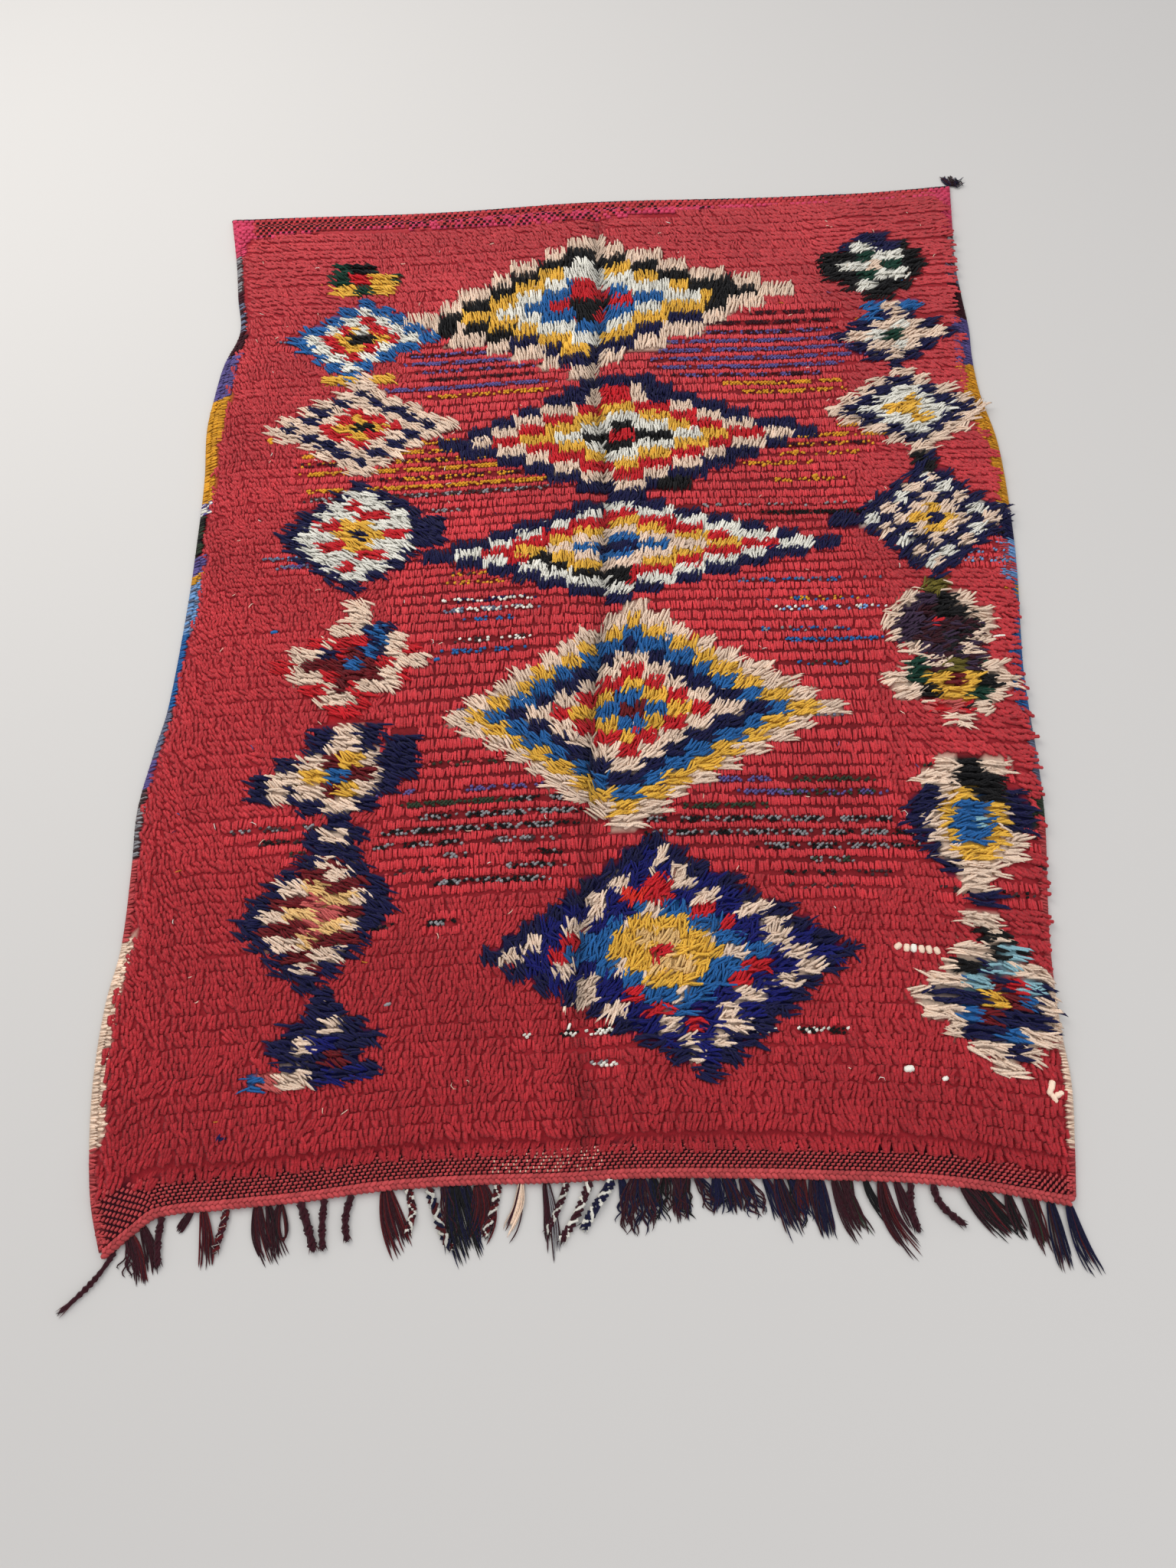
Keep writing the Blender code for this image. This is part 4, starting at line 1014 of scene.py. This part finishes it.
def makeLint():
    # odd pale fibres that have caught in the pile, and short ends of other yarns
    look = {"count": 170, "shortest": 0.005, "longest": 0.015, "half": 0.0007}
    count = look["count"]
    u, v = chance.uniform(0.03, 0.97, count), chance.uniform(0.04, 0.96, count)
    x, y = onRug(u, v)
    z = pileTop(u, v)
    turn = chance.uniform(0, 2 * math.pi, count)
    length = chance.uniform(look["shortest"], look["longest"], count)
    dx, dy = np.cos(turn) * length, np.sin(turn) * length
    bow = chance.normal(0, 0.5, count)
    paths = curved(xyz(x, y, z - 0.0002), xyz(x + dx * 0.5 - dy * bow, y + dy * 0.5 + dx * bow, z + 0.0022),
                   xyz(x + dx, y + dy, z - 0.0002), (0.0, 0.25, 0.75, 1.0))
    half = look["half"] * np.ones((count, 4))
    yarn = chance.choice([yarnNumber(n) for n in ("cream", "white", "blue", "gold", "navy")], count,
                         p=[0.55, 0.25, 0.06, 0.09, 0.05])
    return yarnPiece("lint", tuftEnd, paths, half, 1.0, palette[yarn], weftWool)


lint, spotPiece = makeLint(), makeSpots()
lowBand, highBand = makeLowBand(), makeHighBand()
selvedgePieces = [makeSelvedge("left"), makeSelvedge("right")]
braid, topCord = makeBraid(), makeTopCord()
print("bands, selvedges, braid and cord made")

# the fringe from left to right: root, width, bow, lean and reach in metres, how it is made, its yarns
fringeTassels = [
    (-0.7, 0.008, 0.008, -0.064, 0.078, "plied", "wine/maroon"),
    (-0.682, 0.012, 0.004, 0.022, 0.064, "loose", "wine/maroon"),
    (-0.669, 0.013, 0.003, 0.022, 0.062, "loose", "wine"), (-0.645, 0.01, -0.003, 0.004, 0.066, "plied", "wine"),
    (-0.606, 0.008, 0.0, -0.018, 0.03, "loose", "wine"),
    (-0.591, 0.014, 0.003, 0.012, 0.076, "loose", "wine/maroon"),
    (-0.559, 0.01, 0.001, -0.011, 0.058, "flecked", "wine/maroon"),
    (-0.519, 0.016, -0.006, 0.03, 0.082, "loose", "wine/maroon"),
    (-0.488, 0.014, -0.008, 0.008, 0.07, "loop", "wine/maroon"),
    (-0.462, 0.012, 0.001, 0.025, 0.066, "plied", "wine/maroon"),
    (-0.429, 0.01, -0.002, 0.003, 0.068, "plied", "wine"),
    (-0.392, 0.01, -0.006, -0.002, 0.062, "plied", "wine/maroon"),
    (-0.347, 0.024, -0.004, 0.03, 0.084, "loose", "wine/maroon"),
    (-0.319, 0.01, 0.008, 0.002, 0.06, "plait", "wine/white"),
    (-0.289, 0.012, -0.003, 0.033, 0.084, "plait", "navy/white"),
    (-0.256, 0.028, -0.004, 0.028, 0.1, "loose", "navy/black"),
    (-0.222, 0.026, 0.012, -0.009, 0.078, "loose", "wine/maroon"),
    (-0.195, 0.01, 0.002, -0.019, 0.07, "plait", "wine/white"),
    (-0.164, 0.012, 0.006, -0.025, 0.076, "loose", "cream/wine"),
    (-0.131, 0.014, 0.002, 0.01, 0.104, "loose", "wine/grey"),
    (-0.102, 0.009, 0.002, -0.03, 0.068, "plait", "wine/white"),
    (-0.07, 0.011, 0.004, -0.044, 0.08, "plait", "wine/white"),
    (-0.04, 0.012, 0.001, -0.045, 0.066, "plait", "navy/white"),
    (-0.006, 0.032, -0.002, -0.001, 0.076, "curly", "wine/navy"),
    (0.03, 0.016, 0.001, -0.006, 0.048, "curly", "black/wine"),
    (0.05, 0.016, -0.002, 0.002, 0.06, "loose", "navy/wine"),
    (0.072, 0.014, 0.002, 0.026, 0.05, "curly", "wine/navy"), (0.098, 0.014, 0.003, -0.003, 0.048, "loose", "navy"),
    (0.134, 0.018, 0.001, 0.022, 0.054, "curly", "navy/wine"),
    (0.182, 0.018, -0.004, 0.024, 0.08, "loose", "navy/wine"),
    (0.214, 0.016, -0.003, -0.003, 0.056, "loose", "wine/maroon"),
    (0.238, 0.017, -0.002, 0.006, 0.08, "loose", "navy/wine"), (0.257, 0.013, -0.005, 0.03, 0.086, "loose", "wine"),
    (0.279, 0.01, -0.01, 0.022, 0.076, "loose", "moss/wine"),
    (0.299, 0.009, -0.006, 0.028, 0.054, "loose", "black"),
    (0.321, 0.018, -0.012, 0.04, 0.1, "loose", "wine/maroon"), (0.34, 0.012, -0.002, 0.022, 0.07, "loose", "wine"),
    (0.361, 0.01, -0.006, 0.001, 0.066, "plied", "wine/black"), (0.39, 0.01, -0.012, 0.036, 0.056, "plied", "wine"),
    (0.428, 0.016, -0.004, 0.054, 0.07, "loose", "wine/black"),
    (0.454, 0.016, -0.002, 0.046, 0.066, "loose", "black/maroon"),
    (0.486, 0.013, -0.003, 0.016, 0.06, "loose", "wine/black"),
    (0.521, 0.014, -0.004, 0.008, 0.072, "loose", "wine/maroon"),
    (0.541, 0.015, -0.002, 0.008, 0.098, "loose", "navy/wine"),
    (0.565, 0.015, -0.006, 0.024, 0.094, "loose", "navy/maroon"),
    (0.012, 0.014, 0.003, 0.006, 0.062, "curly", "navy/black"),
    (0.04, 0.012, 0.004, 0.014, 0.054, "curly", "wine/navy"),
    (0.061, 0.012, -0.003, -0.006, 0.056, "curly", "wine/black"),
    (0.11, 0.014, 0.004, 0.014, 0.052, "loose", "wine/navy"),
    (0.12, 0.012, 0.003, -0.01, 0.05, "curly", "navy/black"),
    (0.164, 0.012, 0.003, 0.018, 0.064, "loose", "navy/wine"),
    (0.198, 0.014, 0.004, 0.014, 0.066, "curly", "navy/black"),
    (0.228, 0.012, -0.004, 0.01, 0.062, "loose", "wine/navy"),
    (0.268, 0.012, 0.002, 0.02, 0.074, "loose", "wine/black"),
    (-0.03, 0.012, 0.004, 0.004, 0.06, "curly", "navy/wine"),
    (-0.27, 0.014, 0.003, 0.012, 0.076, "curly", "navy/wine"),
    (-0.24, 0.014, 0.004, 0.014, 0.084, "loose", "navy/black"),
    (-0.686, 0.014, 0.003, 0.01, 0.05, "curly", "wine/black"),
    (-0.505, 0.012, 0.004, 0.012, 0.07, "loose", "wine/black"),
    (0.44, 0.014, -0.003, 0.046, 0.062, "loose", "wine/black"),
    (0.508, 0.012, 0.003, 0.01, 0.064, "loose", "wine/moss"),
]

cordSteps = 14
yarnLength = yarnShape(4, cordSteps - 2)


def tasselYarns(rootX, rootY, tassel, outward, side=1.0):
    # the yarns of one tassel as paths, half widths and yarn numbers
    _, width, bow, lean, reach, kind, names = tassel
    t = np.linspace(0, 1, cordSteps)
    coreX = rootX + lean * t + bow * np.sin(np.pi * t)
    coreY = rootY + outward * reach * t
    angle = np.arctan2(np.gradient(coreY), np.gradient(coreX))
    nx, ny = -np.sin(angle), np.cos(angle)
    first, second = (names.split("/") * 2)[:2]
    paths, halves, numbers = [], [], []

    def add(offset, rise, half, name):
        paths.append(np.stack([coreX + nx * offset, coreY + ny * offset, rise + 0 * t], -1))
        halves.append(half * np.ones(cordSteps))
        numbers.append(yarnNumber(name))

    if kind in ("plied", "flecked"):
        half = width * 0.36
        for k in range(2):
            turn = 2 * math.pi * (t * reach / 0.014 + k / 2)
            add(half * 0.8 * np.cos(turn), half * 1.15 + 0.0004 + half * 0.35 * np.sin(turn), half,
                first if k == 0 or kind == "plied" else second)
        if kind == "flecked":
            turn = 2 * math.pi * t * reach / 0.011
            add(half * 1.35 * np.cos(turn), half * 1.9 + 0.0006 + half * 0.9 * np.sin(turn), 0.0006, "white")
        tail = np.clip((t - 0.72) / 0.28, 0, 1)
        for k in range(5):  # the frayed end
            rise = 0.0022 + 0.001 * (k % 2) + 0.001 * (1 - tail)
            add((k / 4 - 0.5) * width * 1.3 * tail, rise, 0.0008, second)
    elif kind == "plait":
        half = width * 0.27
        third = "maroon" if int(abs(rootX) * 1000) % 2 else first
        for k, name in enumerate((first, second, third)):
            turn = 2 * math.pi * (t * reach / 0.017 + k / 3)
            add(half * 1.5 * np.sin(turn), half * 1.6 + half * 0.75 * np.sin(2 * turn + 0.6), half, name)
        tail = np.clip((t - 0.74) / 0.26, 0, 1)
        for k in range(6):
            add((k / 5 - 0.5) * width * 1.5 * tail, 0.0018 + 0.0008 * (k % 2), 0.0007, (first, second)[k % 2])
    elif kind == "loop":
        turn = np.pi * t
        for k in range(6):
            swing = (0.006 + 0.0012 * k) * side
            loopX = rootX + swing * np.sin(2 * turn) * 0.6 + lean * np.sin(turn)
            loopY = rootY + outward * reach * 0.72 * np.sin(turn) - outward * 0.002
            paths.append(np.stack([loopX, loopY + 0.0008 * k, 0.0024 + 0.0011 * (k % 3) + 0 * t], -1))
            halves.append(0.0011 * np.ones(cordSteps))
            numbers.append(yarnNumber(first if k % 2 else second))
        for k in range(6):
            spread = (k / 5 - 0.5) * width * (0.4 + 1.2 * t)
            add(spread, 0.0018 + 0.0008 * (k % 2) + 0.002 * (1 - t), 0.0010, first)
    else:
        many = int(width / 0.0011)
        for k in range(many):
            place = (k + 0.5) / many - 0.5
            spread = 0.50 + (0.75 if kind == "loose" else 0.8) * t + 0.25 * np.sin(np.pi * t)
            wobble = chance.normal(0, 0.0012) * np.sin(
                math.pi * t * chance.uniform(1.2, 3.2) + chance.uniform(0, 6))
            if kind == "curly":
                wobble = wobble * 3.0 + 0.005 * np.sin(2 * math.pi * t * 1.9 + 0.9 * k) * t
            short = chance.uniform(0.72, 1.0)
            offset = place * 1.15 * width * spread + wobble * t
            rise = 0.0016 + 0.0042 * (1 - t) ** 1.5 * chance.uniform(0.2, 1.0)
            rise = rise + 0.0018 * chance.random() * np.sin(np.pi * t)
            paths.append(np.stack([np.interp(t * short, t, coreX) + nx * offset,
                                   np.interp(t * short, t, coreY) + ny * offset, rise], -1))
            halves.append(chance.uniform(0.0009, 0.0013) * np.ones(cordSteps))
            numbers.append(yarnNumber(first if chance.random() < 0.62 else second))
    return paths, halves, numbers


def bunch(name, found, replaced):
    paths, half, numbers = (np.array([a for part in found for a in part[i]]) for i in range(3))
    paths[..., 2] = np.maximum(paths[..., 2], half * 0.95)
    taper = np.interp(np.arange(cordSteps), [0, 1, cordSteps - 3, cordSteps - 1], [0.8, 1, 0.9, 0.5])
    shape = half * taper[None]
    deep = np.where(np.isin(numbers, [yarnNumber("maroon"), yarnNumber("navy")]), 0.62, 1.0)[:, None]
    colours = palette[numbers] * deep * chance.uniform(0.6, 1.2, (len(numbers), 1))
    return yarnPiece(name, yarnLength, paths, shape, 1.0, colours, cordWool, replaced, rootPaintedShade=0.95)


def makeFringe():
    lineX, lineY = besideEnd(0.0, -0.0146)
    found = []
    for tassel in fringeTassels:
        rootY = float(np.interp(tassel[0], lineX, lineY)) + 0.004
        found.append(tasselYarns(tassel[0], rootY, tassel, -1.0, 1.0 if tassel[3] > 0 else -1.0))
    return bunch("fringeYarns", found, ["fringe"])


def makeCornerTassel():
    knotX, knotY = 0.7935, 1.1065
    strands = [(-0.006, 0.010, 0.000, -0.014, 0.040, "loose", "navy/wine"),
               (0.000, 0.012, -0.002, -0.003, 0.042, "loose", "wine/black"),
               (0.005, 0.008, 0.001, 0.006, 0.032, "loose", "navy/black")]
    found = [tasselYarns(knotX + strand[0], knotY - 0.003, strand, 1.0) for strand in strands]
    t = np.linspace(0, 1, cordSteps)
    tail = np.stack([knotX + 0.003 + 0.0134 * t, knotY + 0.006 + 0.006 * np.sin(2 * math.pi * t),
                     0.003 + 0.002 * np.sin(3 * t)], -1)
    found.append(([tail, tail + np.array([0, 0.0018, 0.0002])], [0.0012 * np.ones(cordSteps)] * 2,
                  [yarnNumber("navy")] * 2))
    curls = []
    for k in range(7):  # curly ends that stray to the right
        reach, swing = 0.018 + 0.004 * (k % 4), 0.004 + 0.0012 * (k % 3)
        curls.append(np.stack([knotX + reach * t + 0.003 * np.sin(9 * t + k),
                               knotY - 0.006 + 0.004 * k + swing * np.sin(2 * math.pi * 1.4 * t + k),
                               0.004 + 0.003 * np.sin(5 * t + k) ** 2], -1))
    found.append((curls, [0.0011 * np.ones(cordSteps)] * 7,
                  [yarnNumber(("navy", "wine", "black")[k % 3]) for k in range(7)]))
    return bunch("cornerTassel", found, ["corner_tassel"])


fringe, cornerTassel = makeFringe(), makeCornerTassel()
print("fringe and corner tassel made")

camera = {"at": (-0.0595, -1.233, 1.586), "turn": (28.09, 0.739, -1.381), "lens": 25.6, "sensor": 36.0}
lens = bpy.data.cameras.new("camera")
lens.sensor_fit = "VERTICAL"
lens.sensor_height = camera["sensor"]
lens.lens = camera["lens"]
cameraObject = bpy.data.objects.new("camera", lens)
cameraObject.location = camera["at"]
cameraObject.rotation_euler = [math.radians(a) for a in camera["turn"]]
bpy.context.scene.collection.objects.link(cameraObject)
bpy.context.scene.camera = cameraObject


def makeFloor():
    look = {"size": 14.0, "colour": (0.62, 0.60, 0.57, 1.0), "roughness": 0.7}
    bpy.ops.object.select_all(action="DESELECT")
    bpy.ops.mesh.primitive_plane_add(size=look["size"])
    floor = bpy.context.object
    floor.name = "studioFloor"
    material = bpy.data.materials.new("paleFloor")
    material.use_nodes = True
    shader = material.node_tree.nodes["Principled BSDF"]
    shader.inputs["Base Color"].default_value = look["colour"]
    shader.inputs["Roughness"].default_value = look["roughness"]
    floor.data.materials.append(material)


makeFloor()

lights = {
    "key": {"at": (-1.9, 1.6, 2.6), "size": 2.4, "power": 60.0, "colour": (1.0, 0.98, 0.95)},
    "fill": {"at": (2.2, -1.8, 2.4), "size": 3.0, "power": 22.0, "colour": (0.95, 0.97, 1.0)},
}
for name, light in lights.items():
    data = bpy.data.lights.new(name, "AREA")
    data.size = light["size"]
    data.energy = light["power"]
    data.color = light["colour"]
    lamp = bpy.data.objects.new(name, data)
    lamp.location = light["at"]
    toward = -np.array(light["at"])
    lamp.rotation_euler = (math.atan2(math.hypot(toward[0], toward[1]), -toward[2]), 0.0,
                           math.atan2(toward[1], toward[0]) - math.pi / 2)
    bpy.context.scene.collection.objects.link(lamp)

surround = {"Color": (0.95, 0.96, 1.0, 1.0), "Strength": 0.75}
world = bpy.data.worlds.new("studio")
world.use_nodes = True
for socket, value in surround.items():
    world.node_tree.nodes["Background"].inputs[socket].default_value = value
bpy.context.scene.world = world
bpy.context.scene.view_settings.view_transform = "Standard"

rugPieces = fieldPieces + shagPieces + selvedgePieces + [
    wefts, lint, spotPiece, lowBand, highBand, braid, topCord, fringe, cornerTassel]
total = 0
for piece in [ground] + rugPieces:
    triangles = sum(len(p.vertices) - 2 for p in piece.data.polygons)
    total += triangles
    print(piece.name, triangles)
print("triangles in all", total)
